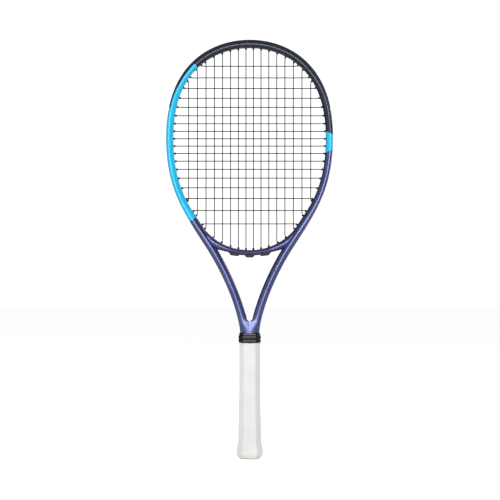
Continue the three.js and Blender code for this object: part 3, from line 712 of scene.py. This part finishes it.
def add_camera():
    picture_height = LENGTH / RACKET_SHARE
    camera_data = bpy.data.cameras.new("camera")
    camera_data.sensor_width = 36
    camera_data.lens = camera_data.sensor_width * CAMERA_DISTANCE / picture_height
    camera = bpy.data.objects.new("camera", camera_data)
    camera.location = (CAMERA_X, -CAMERA_DISTANCE, CAMERA_Z)
    bpy.context.scene.collection.objects.link(camera)
    aim(camera, (CAMERA_X, 0, CAMERA_Z))
    bpy.context.scene.camera = camera


def add_lights():
    centre = (0, 0, 0.4)
    add_area("key_light", (-0.2, -3.0, 0.8), centre, (1.3, 1.0), 60)
    add_area("left_light", (-2.6, -0.8, 0.8), centre, (0.8, 1.6), 6)
    add_area("back_light", (1.1, 2.2, 1.3), centre, (3.2, 2.4), 34)
    add_area("right_light", (2.6, -0.4, 0.9), centre, (0.8, 1.6), 2.5)


def scaled(tree, ray, factor):
    """Node that multiplies a ray's flag by a factor and adds its third input."""
    node = tree.nodes.new("ShaderNodeMath")
    node.operation = "MULTIPLY_ADD"
    tree.links.new(ray, node.inputs[0])
    node.inputs[1].default_value = factor
    return node


def add_backdrop():
    world = bpy.data.worlds.new("studio_world")
    world.use_nodes = True
    tree = world.node_tree
    background = tree.nodes["Background"]
    rays = tree.nodes.new("ShaderNodeLightPath").outputs
    strength = scaled(tree, rays["Is Camera Ray"], BACKDROP_SEEN)
    unseen = scaled(tree, rays["Is Glossy Ray"], BACKDROP_IN_GLOSS)
    unseen.inputs[2].default_value = BACKDROP_LIGHT
    tree.links.new(unseen.outputs[0], strength.inputs[2])
    tree.links.new(strength.outputs[0], background.inputs["Strength"])
    background.inputs["Color"].default_value = (1, 1, 1, 1)
    bpy.context.scene.world = world
    bpy.context.scene.view_settings.view_transform = "Standard"


def add_floor():
    bpy.ops.mesh.primitive_plane_add(size=14, location=(0, 0, FLOOR_Z))
    floor = bpy.context.active_object
    floor.name = "floor"
    nodes = Nodes("studio_floor")
    seen = nodes.tree.nodes.new("ShaderNodeLightPath").outputs["Is Camera Ray"]
    nodes.set(
        Base_Color=(0.82, 0.82, 0.82, 1),
        Roughness=0.9,
        Emission_Color=(1, 1, 1, 1),
        Emission_Strength=nodes.math("MULTIPLY", seen, FLOOR_GLOW),
    )
    floor.data.materials.append(nodes.material)


# ------------ frame hairpin
# The tube's rounded sides: the share of the way across a side and of the full half depth.
OUTER_SIDE = [
    (0.0, 0.40), (0.05, 0.50), (0.16, 0.65), (0.33, 0.82),
    (0.55, 0.93), (0.78, 0.983), (0.93, 0.998), (1.0, 1.0),
]
INNER_SIDE = [
    (0.07, 0.996), (0.2, 0.975), (0.4, 0.915), (0.6, 0.82),
    (0.78, 0.69), (0.9, 0.55), (0.97, 0.44), (1.0, 0.30),
]


def frame_profile(z, width, ridge, half, channel, inset):
    """Upper half of the tube's section, from the middle of the outer wall to the inner wall."""
    inner = width - ridge
    above_crotch = smooth(z, *VALLEY_ENDS)
    drop = lerp(VALLEY_DROP * min(inner / VALLEY_REACH, 1), 1, above_crotch)

    def fall(share):
        """Height of the inner facet, which is shallow and flat in the valley below the crotch."""
        share = lerp(max(share, VALLEY_FLOOR), share, above_crotch)
        return half * (1 - (1 - share) * drop)

    points = [
        (channel, 0.0),
        (channel, 0.5 * CHANNEL_HALF_WIDTH),
        (channel, CHANNEL_HALF_WIDTH - 0.25 * MM),
        (0.0, CHANNEL_HALF_WIDTH),
    ]
    points += [(across * ridge, height * half) for across, height in OUTER_SIDE]
    points += [(ridge + across * inner, fall(height)) for across, height in INNER_SIDE]
    points.append((width, 0.12 * half))
    if inset == 0:
        return points
    shifted = []
    for u, v in points:
        fade = inset * (1 - smooth(u, *GUARD_INSET_FADES))
        shifted.append((u + fade, v - 0.35 * fade if v > CHANNEL_HALF_WIDTH else v))
    return shifted


def shaft_place(s):
    """Place on the outline whose section turns level towards the neck."""
    place = Place(s)
    straight = place.inward
    level = 1 - smooth(place.point.y, *SECTION_TURNS)
    place.inward = straight.lerp(Vector((-1, 0)), level).normalized()
    place.stretch = 1 / place.inward.dot(straight)
    return place


def inner_x(place):
    """Distance of the shaft's inner wall from the middle of the racket."""
    return place.plan(frame_width(place.point.y) * place.stretch).x


def crotch_place():
    """The place where the inner walls are as far apart as the notch is wide."""
    return shaft_place(crossing(2.4, 2.98, lambda s: inner_x(shaft_place(s)) - CROTCH_RADIUS))


CROTCH = crotch_place()


def neck_section(place):
    """Width and ridge depth of the section at a place, down to the solid neck."""
    z = place.point.y
    width = frame_width(z) * place.stretch
    ridge = ridge_depth(z) * place.stretch
    drop = CROTCH.point.y - z
    if drop > 0:
        gap = math.sqrt(max(CROTCH_RADIUS**2 - drop**2, 0))
        width = place.point.x - gap
        arm = CROTCH_RIDGE_SLOPE * max(z - CROTCH_RIDGE_FOOT, 0)
        meet = smooth(drop, 0, CROTCH_BLEND)
        ridge = lerp(ridge, place.point.x - arm, meet)
    return width, ridge


def frame_steps():
    """Steps along the outline, closer together where the shape changes quickly."""
    channel_end = STRIP_END.s + 0.015
    guard_end = GUARD_TIP.s + 0.002
    steps = [0.0]
    for low, high, count in ((0, 1, 140), (1, 2, 110), (2, 2.6, 60), (2.6, 3, 110)):
        steps += [lerp(low, high, i / count) for i in range(1, count + 1)]
    edges = [channel_end - 0.0005, channel_end + 0.0005, guard_end - 0.0004, guard_end + 0.0004]
    return sorted(steps + edges), channel_end, guard_end


def frame_half():
    """Rings of the right half of the tube, held to x >= 0 where it meets the left half."""
    steps, channel_end, guard_end = frame_steps()
    rings = []
    for s in steps:
        place = shaft_place(s)
        z = place.point.y
        channel = CHANNEL_DEPTH if s < channel_end else 0.0
        inset = GUARD_INSET if s < guard_end else 0.0
        width, ridge = neck_section(place)
        upper = frame_profile(z, width, ridge, half_depth(z), channel, inset)
        section = upper + [(u, -v) for u, v in reversed(upper[1:])]
        ring = [place.at(u, v) for u, v in section]
        for point in ring:
            point.x = max(point.x, 0)
        rings.append(ring)
    return rings


def build_frame():
    """Both halves of the tube, joined over the tip and at the neck and closed."""
    bm = bmesh.new()
    rings = frame_half()
    for side in (1, -1):
        flipped = [[Vector((side * p.x, p.y, p.z)) for p in ring] for ring in rings]
        add_loft(bm, flipped, caps=False)
    bmesh.ops.remove_doubles(bm, verts=bm.verts, dist=1e-6)
    inside = [f for f in bm.faces if all(abs(v.co.x) < 1e-6 for v in f.verts)]
    bmesh.ops.delete(bm, geom=inside, context="FACES_ONLY")
    loose = [e for e in bm.edges if not e.link_faces]
    bmesh.ops.delete(bm, geom=loose, context="EDGES")
    bmesh.ops.dissolve_degenerate(bm, edges=bm.edges, dist=1e-7)
    open_edges = [e for e in bm.edges if e.is_boundary]
    bmesh.ops.holes_fill(bm, edges=open_edges, sides=0)
    piece = new_piece(bm, "frame_moulding", 38)
    paint(piece, FRAME_PAINT)
    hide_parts("frame_hairpin")


# ------------ throat bridge
# Upper half of the bridge's section: shares of the way up and of the full half depth.
BRIDGE_SECTION = [
    (0.0, 0.30), (0.0, 0.46), (0.04, 0.60), (0.12, 0.76), (0.24, 0.90), (0.36, 0.97), (0.46, 1.0),
    (0.56, 0.975), (0.68, 0.89), (0.80, 0.77), (0.90, 0.64), (0.97, 0.50), (1.0, 0.36), (1.0, 0.12),
]


def build_bridge():
    bm = bmesh.new()
    steps = 120
    rings = []
    for i in range(steps + 1):
        across = 2 * i / steps - 1
        reach = abs(across)
        side = -1 if across < 0 else 1
        top = BRIDGE_CURVE.point(reach)
        bottom = underside_place(BRIDGE_FOOT_REACH * reach).point
        half = lerp(BRIDGE_HALF_DEPTH, BRIDGE_END_HALF_DEPTH, smooth(reach, 0.2, 0.8))
        half *= 1 - 0.12 * smooth(reach, 0.86, 1.0)
        ring = []
        for rise, v in mirrored(BRIDGE_SECTION):
            plan = bottom.lerp(top, rise)
            ring.append(Vector((side * plan.x, v * half, plan.y)))
        rings.append(ring)
    add_loft(bm, rings)
    piece = new_piece(bm, "bridge_moulding")
    paint(piece, BRIDGE_PAINT)
    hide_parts("throat_bridge")


# ------------ grommets and guard
def add_barrel(bm, hole, side, start):
    """Moulded barrel with a rounded lip, open along its bore."""
    axis_start = hole.place.at(start, 0, side)
    axis_end = hole.place.at(hole.mouth, 0, side)
    axis = axis_end - axis_start
    length = axis.length
    direction = axis.normalized()
    through = Vector((0, 1, 0))
    across = direction.cross(through).normalized()
    # Distance along the barrel and radius, out to the lip and back down the bore.
    profile = [
        (0.0, BARREL_RADIUS * 1.05),
        (length - 2.9 * MM, BARREL_RADIUS * 1.05),
        (length - 0.5 * MM, BARREL_RADIUS * 0.93),
        (length - 0.1 * MM, BARREL_RADIUS * 0.8),
        (length, BARREL_RADIUS * 0.66),
        (length - 0.25 * MM, BARREL_RADIUS * 0.5),
        (0.0, BARREL_RADIUS * 0.5),
    ]
    rings = []
    for along, radius in profile:
        centre = axis_start + direction * along
        rings.append([centre + across * x + through * y for x, y in circle_section(radius, 18)])
    add_loft(bm, rings, closed=True)


def wing_scale(z):
    return lerp(0.3, 1, smooth(z, GUARD_TIP_Z - 12 * MM, GUARD_FULL_Z))


def guard_section(place):
    """Guard round the tube: a groove for the strings between two wings. In mm until the end."""
    k = wing_scale(place.point.y)
    edge_u, edge_v = 4.9 * k, 4.4 + 6.4 * k
    groove = [(1.9, 1.4), (1.9, 2.5), (1.5, 2.85), (0.2, 2.95), (-0.1, 3.1), (-0.3, 3.5), (-0.3, 4.6)]
    wing = [
        (-0.2 + 0.1 * k, 4.8 + 0.6 * k),
        (-0.1 + 0.3 * k, 4.7 + 1.6 * k),
        (-0.1 + 0.7 * k, 4.7 + 2.6 * k),
        (-0.1 + 1.3 * k, 4.7 + 3.6 * k),
        (-0.1 + 2.1 * k, 4.65 + 4.55 * k),
        (edge_u - 1.9 * k, edge_v - 0.65 * k),
        (edge_u - 1.2 * k, edge_v - 0.05),
        (edge_u - 0.7 * k, edge_v + 0.3),
        (edge_u - 0.3, edge_v + 0.4),
    ]
    edge = [(edge_u, edge_v + 0.2), (edge_u, edge_v - 0.2)]
    inside = [(1.6 + 1.3 * k, 4.0 + 3.2 * k), (1.8, 4.2), (2.9, 3.6), (2.9, 1.4)]
    return mirrored([(u * MM, v * MM) for u, v in groove + wing + edge + inside])


RIB_PITCH = 2.2 * MM
RIB_HEIGHT = 0.16 * MM
RIBBED_POINTS = range(7, 14)  # the points of the wing in a half section of the guard
GUARD_TIP_DEPTH = 1.1 * MM


def ribbed_guard_rings(places):
    """Guard rings whose wings carry slanting ribs."""
    arc = 0.0
    rings = []
    for index, place in enumerate(places):
        if index:
            arc += (place.point - places[index - 1].point).length
        section = guard_section(place)
        tip = smooth(GUARD_TIP.s - place.s, 0, 0.02)
        ring = []
        for i, (u, v) in enumerate(section):
            mirror = i >= len(section) // 2
            order = len(section) - 1 - i if mirror else i
            if order in RIBBED_POINTS:
                phase = (arc + 0.6 * abs(v)) / RIB_PITCH
                groove = RIB_HEIGHT * tip * (0.5 - 0.5 * math.cos(2 * math.pi * phase)) ** 2
                u += 0.8 * groove
                v -= math.copysign(0.6 * groove, v)
            if u < GUARD_TIP_DEPTH:
                u = lerp(GUARD_TIP_DEPTH, u, 0.2 + 0.8 * tip)
            ring.append((u, v))
        rings.append(ring)
    left = [[p.at(u, v, -1) for u, v in ring] for p, ring in zip(places[:0:-1], rings[:0:-1])]
    right = [[p.at(u, v, 1) for u, v in ring] for p, ring in zip(places, rings)]
    return left + right


def build_guard():
    bm = bmesh.new()
    places = hoop_places(0, GUARD_TIP.s, 560)
    add_loft(bm, ribbed_guard_rings(places))
    holes = [h for h in HOOP_HOLES if h.place.s < GUARD_TIP.s]
    for side in (1, -1):
        for hole in holes:
            add_barrel(bm, hole, side, STRIP_FLOOR)
    piece = new_piece(bm, "head_guard")
    paint(piece, GUARD_NYLON)
    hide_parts("bumper_guard")


# Depth and height, in mm, of the flat strip in the channel.
SIDE_STRIP_SECTION = [(1.9, -3.3), (1.9, 3.3), (2.2, 3.6), (2.9, 3.6), (2.9, -3.6), (2.2, -3.6)]


def build_side_strip(side, name, node):
    bm = bmesh.new()
    rings = [
        [place.at(u * MM, v * MM, side) for u, v in SIDE_STRIP_SECTION]
        for place in hoop_places(STRIP_START.s, STRIP_END.s, 120)
    ]
    add_loft(bm, rings)
    for hole in HOOP_HOLES:
        if hole.place.s > GUARD_TIP.s:
            add_barrel(bm, hole, side, STRIP_FLOOR)
    piece = new_piece(bm, name)
    paint(piece, BLACK_NYLON)
    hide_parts(node)


def hump_height(x):
    """Height of the throat strip's walls under the bridge, in millimetres."""
    reach = abs(x) / MM
    end = smooth(THROAT_STRIP_REACH / MM - reach, 0, 6)
    centre = 3.4 * smooth(8.5 - reach, 0, 3.5)
    outer = 2.3 * smooth(9 - abs(reach - 24.9), 0, 3.5)
    return end * (1.9 + centre + outer)


def build_throat_strip():
    """Grommet strip under the bridge, between two walls with three humps."""
    bm = bmesh.new()
    rings = []
    steps = 150
    for i in range(steps + 1):
        place = underside_place(lerp(-THROAT_STRIP_REACH, THROAT_STRIP_REACH, i / steps))
        drop = -0.1 - hump_height(place.point.x)
        upper = [
            (0.6, 1.2), (0.6, 2.1), (0.3, 2.4), (drop + 0.35, 2.45), (drop + 0.08, 2.6), (drop, 2.95),
            (drop + 0.08, 3.35), (drop + 0.4, 3.6), (0.0, 3.6), (1.6, 3.6), (1.6, 1.2),
        ]
        rings.append([place.at(u * MM, v * MM) for u, v in mirrored(upper)])
    add_loft(bm, rings)
    for side in (1, -1):
        for hole in BOTTOM_MAINS[:BRIDGE_MAINS]:
            add_barrel(bm, hole, side, THROAT_STRIP_FLOOR)
    piece = new_piece(bm, "throat_strip")
    paint(piece, BLACK_NYLON)
    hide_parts("throat_grommet_strip")


# ------------ strings
def groove_run(from_hole, to_hole, from_side, to_side, shift):
    """Points along the groove from one hole to the next."""
    in_bridge = from_hole.where == "bridge"
    depth = STRING_DEPTH
    if in_bridge:
        depth -= STRIP_FLOOR - THROAT_STRIP_FLOOR

    def signed(hole, side):
        return side * (hole.place.point.x if in_bridge else hole.place.s)

    def at(value):
        side = -1 if value < 0 else 1
        place = underside_place(abs(value)) if in_bridge else Place(abs(value))
        return place, side

    start, end = signed(from_hole, from_side), signed(to_hole, to_side)
    points = [from_hole.place.at(depth, 0, from_side)]
    for share in (0.16, 0.5, 0.84):
        place, side = at(lerp(start, end, share))
        points.append(place.at(depth, shift, side))
    points.append(to_hole.place.at(depth, 0, to_side))
    return points


def crowded(a, b):
    low, high = sorted((a.place.s, b.place.s))
    return any(low + 1e-6 < hole.place.s < high - 1e-6 for hole in HOOP_HOLES)


def tail(hole, side, shift):
    """The tied-off end of a string, from its end in the groove to the hole's mouth."""
    return [
        Place(hole.place.s + 0.03).at(STRING_DEPTH, shift, side),
        Place(hole.place.s + 0.0135).at(STRING_DEPTH, shift, side),
        hole.place.at(STRING_DEPTH, 0, side),
        hole.place.at(hole.mouth, 0, side),
    ]


def weave_sign(row, column):
    """1 where the cross string passes behind the main string."""
    return 1 if (row + column) % 2 == 0 else -1


def main_path():
    """Route of the one string of the mains, up and down the bed from left to right."""
    last = len(MAINS) - 1
    columns = [(last - i, -1) for i in range(len(MAINS))] + [(i, 1) for i in range(len(MAINS))]
    path = tail(BOTTOM_MAINS[last], -1, -LOOP_SHIFT)
    for order, (index, side) in enumerate(columns):
        rising = order % 2 == 0
        column = last - index if side < 0 else len(MAINS) + index
        rows = range(CROSS_COUNT - 1, -1, -1) if rising else range(CROSS_COUNT)
        for row in rows:
            z = CROSS_HEIGHTS[row]
            reach = CROSS_HOLES[row].place.plan(CROSS_HOLES[row].mouth).x
            if MAINS[index] > reach - 2 * MM:
                continue
            path.append(Vector((side * MAINS[index], -WEAVE * weave_sign(row, column), z)))
        if order == len(columns) - 1:
            break
        next_index, next_side = columns[order + 1]
        holes = TOP_MAINS if rising else BOTTOM_MAINS
        here, there = holes[index], holes[next_index]
        shift = -LOOP_SHIFT if here.where != "bridge" and crowded(here, there) else 0
        path.append(here.place.at(here.mouth, 0, side))
        path += groove_run(here, there, side, next_side, shift)
        path.append(there.place.at(there.mouth, 0, next_side))
    return path + tail(BOTTOM_MAINS[last], 1, -LOOP_SHIFT)[::-1]


def cross_path():
    """Route of the one string of the crosses, to and fro from the tip down."""
    path = tail(CROSS_HOLES[0], -1, LOOP_SHIFT)
    xs = [-x for x in reversed(MAINS)] + MAINS
    for row, z in enumerate(CROSS_HEIGHTS):
        hole = CROSS_HOLES[row]
        reach = hole.place.plan(hole.mouth).x
        knots = [
            Vector((x, WEAVE * weave_sign(row, column), z))
            for column, x in enumerate(xs)
            if abs(x) < reach - 1 * MM
        ]
        direction = 1 if row % 2 == 0 else -1
        path += knots if direction > 0 else knots[::-1]
        if row == CROSS_COUNT - 1:
            break
        there = CROSS_HOLES[row + 1]
        shift = LOOP_SHIFT if crowded(hole, there) else 0
        path.append(hole.place.at(hole.mouth, 0, direction))
        path += groove_run(hole, there, direction, direction, shift)
        path.append(there.place.at(there.mouth, 0, direction))
    return path + tail(CROSS_HOLES[-1], -1, LOOP_SHIFT)[::-1]


BEND_RADIUS = 3.2 * MM


def build_string(name, path, node):
    bm = bmesh.new()
    smooth_path = rounded(path, BEND_RADIUS, 5)
    add_loft(bm, tube_rings(smooth_path, STRING_RADIUS, 12))
    piece = new_piece(bm, name, 60)
    paint(piece, STRING)
    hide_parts(node)


# ------------ handle
BUTT_FLARE = 4.5 * MM
BUTT_FLARE_FADES = (10 * MM, 40 * MM)
BUTT_TUCK = 0.9 * MM
BUTT_TUCK_FADES = (3 * MM, 12 * MM)
CORNER_STEPS = 4


def flare(z):
    """How far the butt stands out from the handle, less the tuck at its foot."""
    out = BUTT_FLARE * (1 - smooth(z, *BUTT_FLARE_FADES))
    tuck = BUTT_TUCK * (1 - smooth(z, *BUTT_TUCK_FADES))
    return out - tuck


def octagon_outline(half_width, half_depth_y, per_side, corner, front_flat=FRONT_FLAT):
    """Points round an eight-sided section with rounded corners."""
    front = half_width * front_flat
    side = half_depth_y * SIDE_FLAT
    corners = [
        (front, -half_depth_y), (half_width, -side), (half_width, side), (front, half_depth_y),
        (-front, half_depth_y), (-half_width, side), (-half_width, -side), (-front, -half_depth_y),
    ]
    points = []
    for i, corner_point in enumerate(corners):
        here = Vector(corner_point)
        before = Vector(corners[i - 1])
        after = Vector(corners[(i + 1) % 8])
        start = here + (before - here).normalized() * corner
        end = here + (after - here).normalized() * corner
        points += corner_curve(start, here, end, CORNER_STEPS)
        next_start = after + (here - after).normalized() * corner
        for step in range(1, per_side):
            points.append(end.lerp(next_start, step / per_side))
    return points


def handle_outline(grow, per_side, corner):
    """The handle's own section, larger by a distance all round."""
    return octagon_outline(HANDLE_HALF_WIDTH + grow, HANDLE_HALF_DEPTH + grow, per_side, corner)


GRIP_THICKNESS = 1.6 * MM
GRIP_GAP = 0.3 * MM
WRAP_PITCH = 26 * MM
LIP = 0.1 * MM  # the wrap stays this far inside the size of the CAD grip
LAP_STEP = 0.24 * MM
LAP_EDGE = 0.1 * MM
LAP_GROOVE = 0.16 * MM


def seam_depth(phase):
    """How far the wrap sinks near a seam; phase is the share of a turn since the last seam."""
    lap = LAP_STEP * (1 - smooth(phase, 0.0, 0.045)) + LAP_EDGE * smooth(phase, 0.9, 1.0)
    groove = LAP_GROOVE * math.exp(-(((phase - 0.03) / 0.018) ** 2))
    return 0.5 * lap + groove


def build_grip():
    """The strip wound round the handle: each turn's leading edge lies over the turn before."""
    bm = bmesh.new()
    steps = 380
    rings = []
    for i in range(steps + 1):
        z = lerp(GRIP_BOTTOM, GRIP_TOP, i / steps)
        grow = flare(z) + GRIP_GAP + GRIP_THICKNESS
        edge = min(z - GRIP_BOTTOM, GRIP_TOP - z)
        round_off = 1.0 * MM * (1 - smooth(edge, 0, 1.6 * MM))
        outline = handle_outline(grow, 5, 1.7 * MM)
        ring = []
        for point in outline:
            turn = math.atan2(point.y, point.x) / (2 * math.pi)
            phase = (z / WRAP_PITCH - turn) % 1
            sink = max(round_off, LIP) + seam_depth(phase)
            scale = 1 - sink / point.length
            ring.append(Vector((point.x * scale, point.y * scale, z)))
        rings.append(ring)
    for z in (GRIP_TOP, GRIP_BOTTOM):
        rings.append(level_ring(handle_outline(flare(z) + GRIP_GAP, 5, 1.5 * MM), z))
    add_loft(bm, rings, closed=True)
    piece = new_piece(bm, "wrapped_grip", 50)
    paint(piece, GRIP_LEATHER)
    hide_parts("grip")


# Height over the collar's foot and half width, in mm, up the outside and down the inside.
COLLAR_PROFILE = [
    (-0.2, 17.6), (0.0, 17.9), (0.35, 18.15), (0.9, 18.25), (3.6, 18.25), (4.1, 18.1), (4.4, 17.75),
    (4.7, 17.5), (5.3, 17.5), (5.6, 17.75), (5.9, 18.1), (6.4, 18.25), (9.9, 18.25), (10.6, 18.1),
    (11.1, 17.7), (11.5, 17.2), (12.2, 17.1), (14.2, 17.1), (14.8, 16.95), (15.1, 16.6), (15.1, 16.2),
    (14.7, 15.9), (9.0, 15.9), (8.0, 16.8), (0.4, 16.9),
]
COLLAR_FLAT = 0.66
COLLAR_SLIMMER = 1.7  # half width less half depth, in mm
COLLAR_BOW = 0.9 * MM
COLLAR_BOW_REACH = 18 * MM


def build_collar():
    """Rubber sleeve with a bead, a groove and a lip; its foot bows down over the wrap."""
    bm = bmesh.new()
    rings = []
    for rise, half_width in COLLAR_PROFILE:
        z = COLLAR_BOTTOM + rise * MM
        half_deep = (half_width - COLLAR_SLIMMER) * MM
        outline = octagon_outline(half_width * MM, half_deep, 4, 2 * MM, COLLAR_FLAT)
        foot_share = 1 - smooth(rise, 0, 4)
        ring = []
        for point in outline:
            bow = COLLAR_BOW * foot_share * max(0, 1 - abs(point.x) / COLLAR_BOW_REACH) ** 0.8
            ring.append(Vector((point.x, point.y, z - bow)))
        rings.append(ring)
    add_loft(bm, rings, closed=True)
    piece = new_piece(bm, "ribbed_collar", 50)
    paint(piece, COLLAR_RUBBER)
    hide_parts("rubber_collar")


# Height, half width and half depth of the rings of the cap's rounded foot, in mm.
CAP_FOOT = [
    (0.0, 13.0, 11.0), (0.08, 13.9, 11.9), (0.3, 14.75, 12.75), (0.8, 15.5, 13.5), (1.6, 16.6, 14.6),
]
CAP_HEIGHTS = (3, 4.5, 6, 8, 10, 12, 14, 16, 19, 22, 25, 28, 31, 34, 38, 42)
CAP_WALL = 1.6 * MM
CAP_TOP = CAP_HEIGHTS[-1] * MM
CAP_LEDGE = 12.6 * MM
COMPARTMENT = ((-6.9 * MM, -4.6 * MM), (6.9 * MM, 3.4 * MM))
BELOW_CAP = -2 * MM
DOOR_HALF_WIDTH = 8.5 * MM
DOOR_HALF_DEPTH = 6 * MM
DOOR_RECESS = 0.8 * MM
DOOR_THICKNESS = 1.6 * MM
DOOR_GAP = 0.35 * MM
HINGE = (5 * MM, 1.6 * MM)
STUD_REACH = 10 * MM
STUD_RADIUS = 0.99 * MM
STUD_SEAT = 1.3 * MM
NICK_HALF_WIDTH = 2.5 * MM
NICK_DEPTH = 0.45 * MM


def add_block(bm, low, high, bevel=0.0):
    """Box between two corners, with its edges rounded."""
    verts = bmesh.ops.create_cube(bm, size=1)["verts"]
    for vert in verts:
        vert.co = Vector([lerp(a, b, c + 0.5) for a, b, c in zip(low, high, vert.co)])
    if bevel:
        edges = list({e for v in verts for e in v.link_edges})
        bmesh.ops.bevel(bm, geom=edges, offset=bevel, segments=3, profile=0.5, affect="EDGES")


def cutter(low, high):
    """Box between two corners, to be cut out of a piece."""
    bm = bmesh.new()
    add_block(bm, low, high)
    return new_object(bm, "cutter")


def carve(piece, tools, bevel):
    """Cut the tools out of the piece, round the new edges and bake the result."""
    for tool in tools:
        cut = piece.modifiers.new("cut", "BOOLEAN")
        cut.operation = "DIFFERENCE"
        cut.object = tool
        cut.solver = "EXACT"
    soften = piece.modifiers.new("soften", "BEVEL")
    soften.width = bevel
    soften.segments = 3
    soften.angle_limit = math.radians(50)
    soften.harden_normals = False
    graph = bpy.context.evaluated_depsgraph_get()
    baked = bpy.data.meshes.new_from_object(piece.evaluated_get(graph))
    piece.modifiers.clear()
    piece.data = baked
    shade(piece.data, 40)
    for tool in tools:
        bpy.data.objects.remove(tool)


def cap_cutters():
    """Recess of the door, the compartment above it and the seat of the hinge's studs."""
    wide = DOOR_HALF_WIDTH + DOOR_GAP
    deep = DOOR_HALF_DEPTH + DOOR_GAP
    recess_top = DOOR_RECESS + DOOR_THICKNESS + 0.3 * MM
    hinge_y, hinge_z = HINGE
    seat = STUD_REACH + 0.3 * MM
    low, high = COMPARTMENT
    return [
        cutter((-wide, -deep, BELOW_CAP), (wide, deep, recess_top)),
        cutter((*low, BELOW_CAP), (*high, CAP_LEDGE + 1 * MM)),
        cutter(
            (-seat, hinge_y - STUD_SEAT, BELOW_CAP),
            (seat, hinge_y + STUD_SEAT, hinge_z + STUD_SEAT),
        ),
    ]


def build_butt_cap():
    """Cup that closes the handle, with a rounded foot and the recess for the door."""
    bm = bmesh.new()
    rings = []
    for rise, half_width, half_deep in CAP_FOOT:
        outline = octagon_outline(half_width * MM, half_deep * MM, 4, 2.4 * MM)
        rings.append(level_ring(outline, rise * MM))
    for rise in CAP_HEIGHTS:
        outline = handle_outline(flare(rise * MM), 4, 1.6 * MM)
        rings.append(level_ring(outline, rise * MM))
    inner = handle_outline(-CAP_WALL, 4, 1 * MM)
    rings += [level_ring(inner, z) for z in (CAP_TOP, CAP_LEDGE)]
    add_loft(bm, rings)
    piece = new_piece(bm, "moulded_cap")
    carve(piece, cap_cutters(), 0.14 * MM)
    paint(piece, WHITE_PLASTIC)
    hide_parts("butt_cap")


def build_door():
    """Door leaf with its knuckle and studs and a shallow nail nick at the free edge."""
    bm = bmesh.new()
    hinge_y, hinge_z = HINGE
    top = DOOR_RECESS + DOOR_THICKNESS
    foot_corner = (-DOOR_HALF_WIDTH, -DOOR_HALF_DEPTH, DOOR_RECESS)
    add_block(bm, foot_corner, (DOOR_HALF_WIDTH, hinge_y, top), 0.22 * MM)
    for reach, radius in ((DOOR_HALF_WIDTH, DOOR_THICKNESS / 2), (STUD_REACH, STUD_RADIUS)):
        rounded_end = [(reach - 0.2 * MM, radius), (reach, radius - 0.2 * MM)]
        profile = [(-x, r) for x, r in reversed(rounded_end)] + rounded_end
        rings = [
            [Vector((x, hinge_y + a, hinge_z + b)) for a, b in circle_section(r, 24)]
            for x, r in profile
        ]
        add_loft(bm, rings)
    piece = new_piece(bm, "door_leaf", body="door")
    nick = cutter(
        (-NICK_HALF_WIDTH, -DOOR_HALF_DEPTH - 1 * MM, DOOR_RECESS - 1 * MM),
        (NICK_HALF_WIDTH, -DOOR_HALF_DEPTH + 1 * MM, DOOR_RECESS + NICK_DEPTH),
    )
    carve(piece, [nick], 0.08 * MM)
    paint(piece, WHITE_PLASTIC)
    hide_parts("trap_door")


# ------------ pieces kept from the CAD model
def keep_cad(node, material):
    paint(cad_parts[node], material)


# ------------ assembly
add_camera()
add_lights()
add_backdrop()
add_floor()
build_frame()
build_bridge()
build_guard()
build_side_strip(-1, "left_strip", "left_grommet_strip")
build_side_strip(1, "right_strip", "right_grommet_strip")
build_throat_strip()
build_string("main_strings", main_path(), "main_string")
build_string("cross_strings", cross_path(), "cross_string")
build_grip()
build_collar()
build_butt_cap()
build_door()
keep_cad("front_pallet", PALLET_FOAM)
keep_cad("back_pallet", PALLET_FOAM)
keep_cad("left_butt_staple", STEEL)
keep_cad("right_butt_staple", STEEL)
keep_cad("grip_tack", STEEL)
keep_cad("finishing_tape", TAPE_FILM)
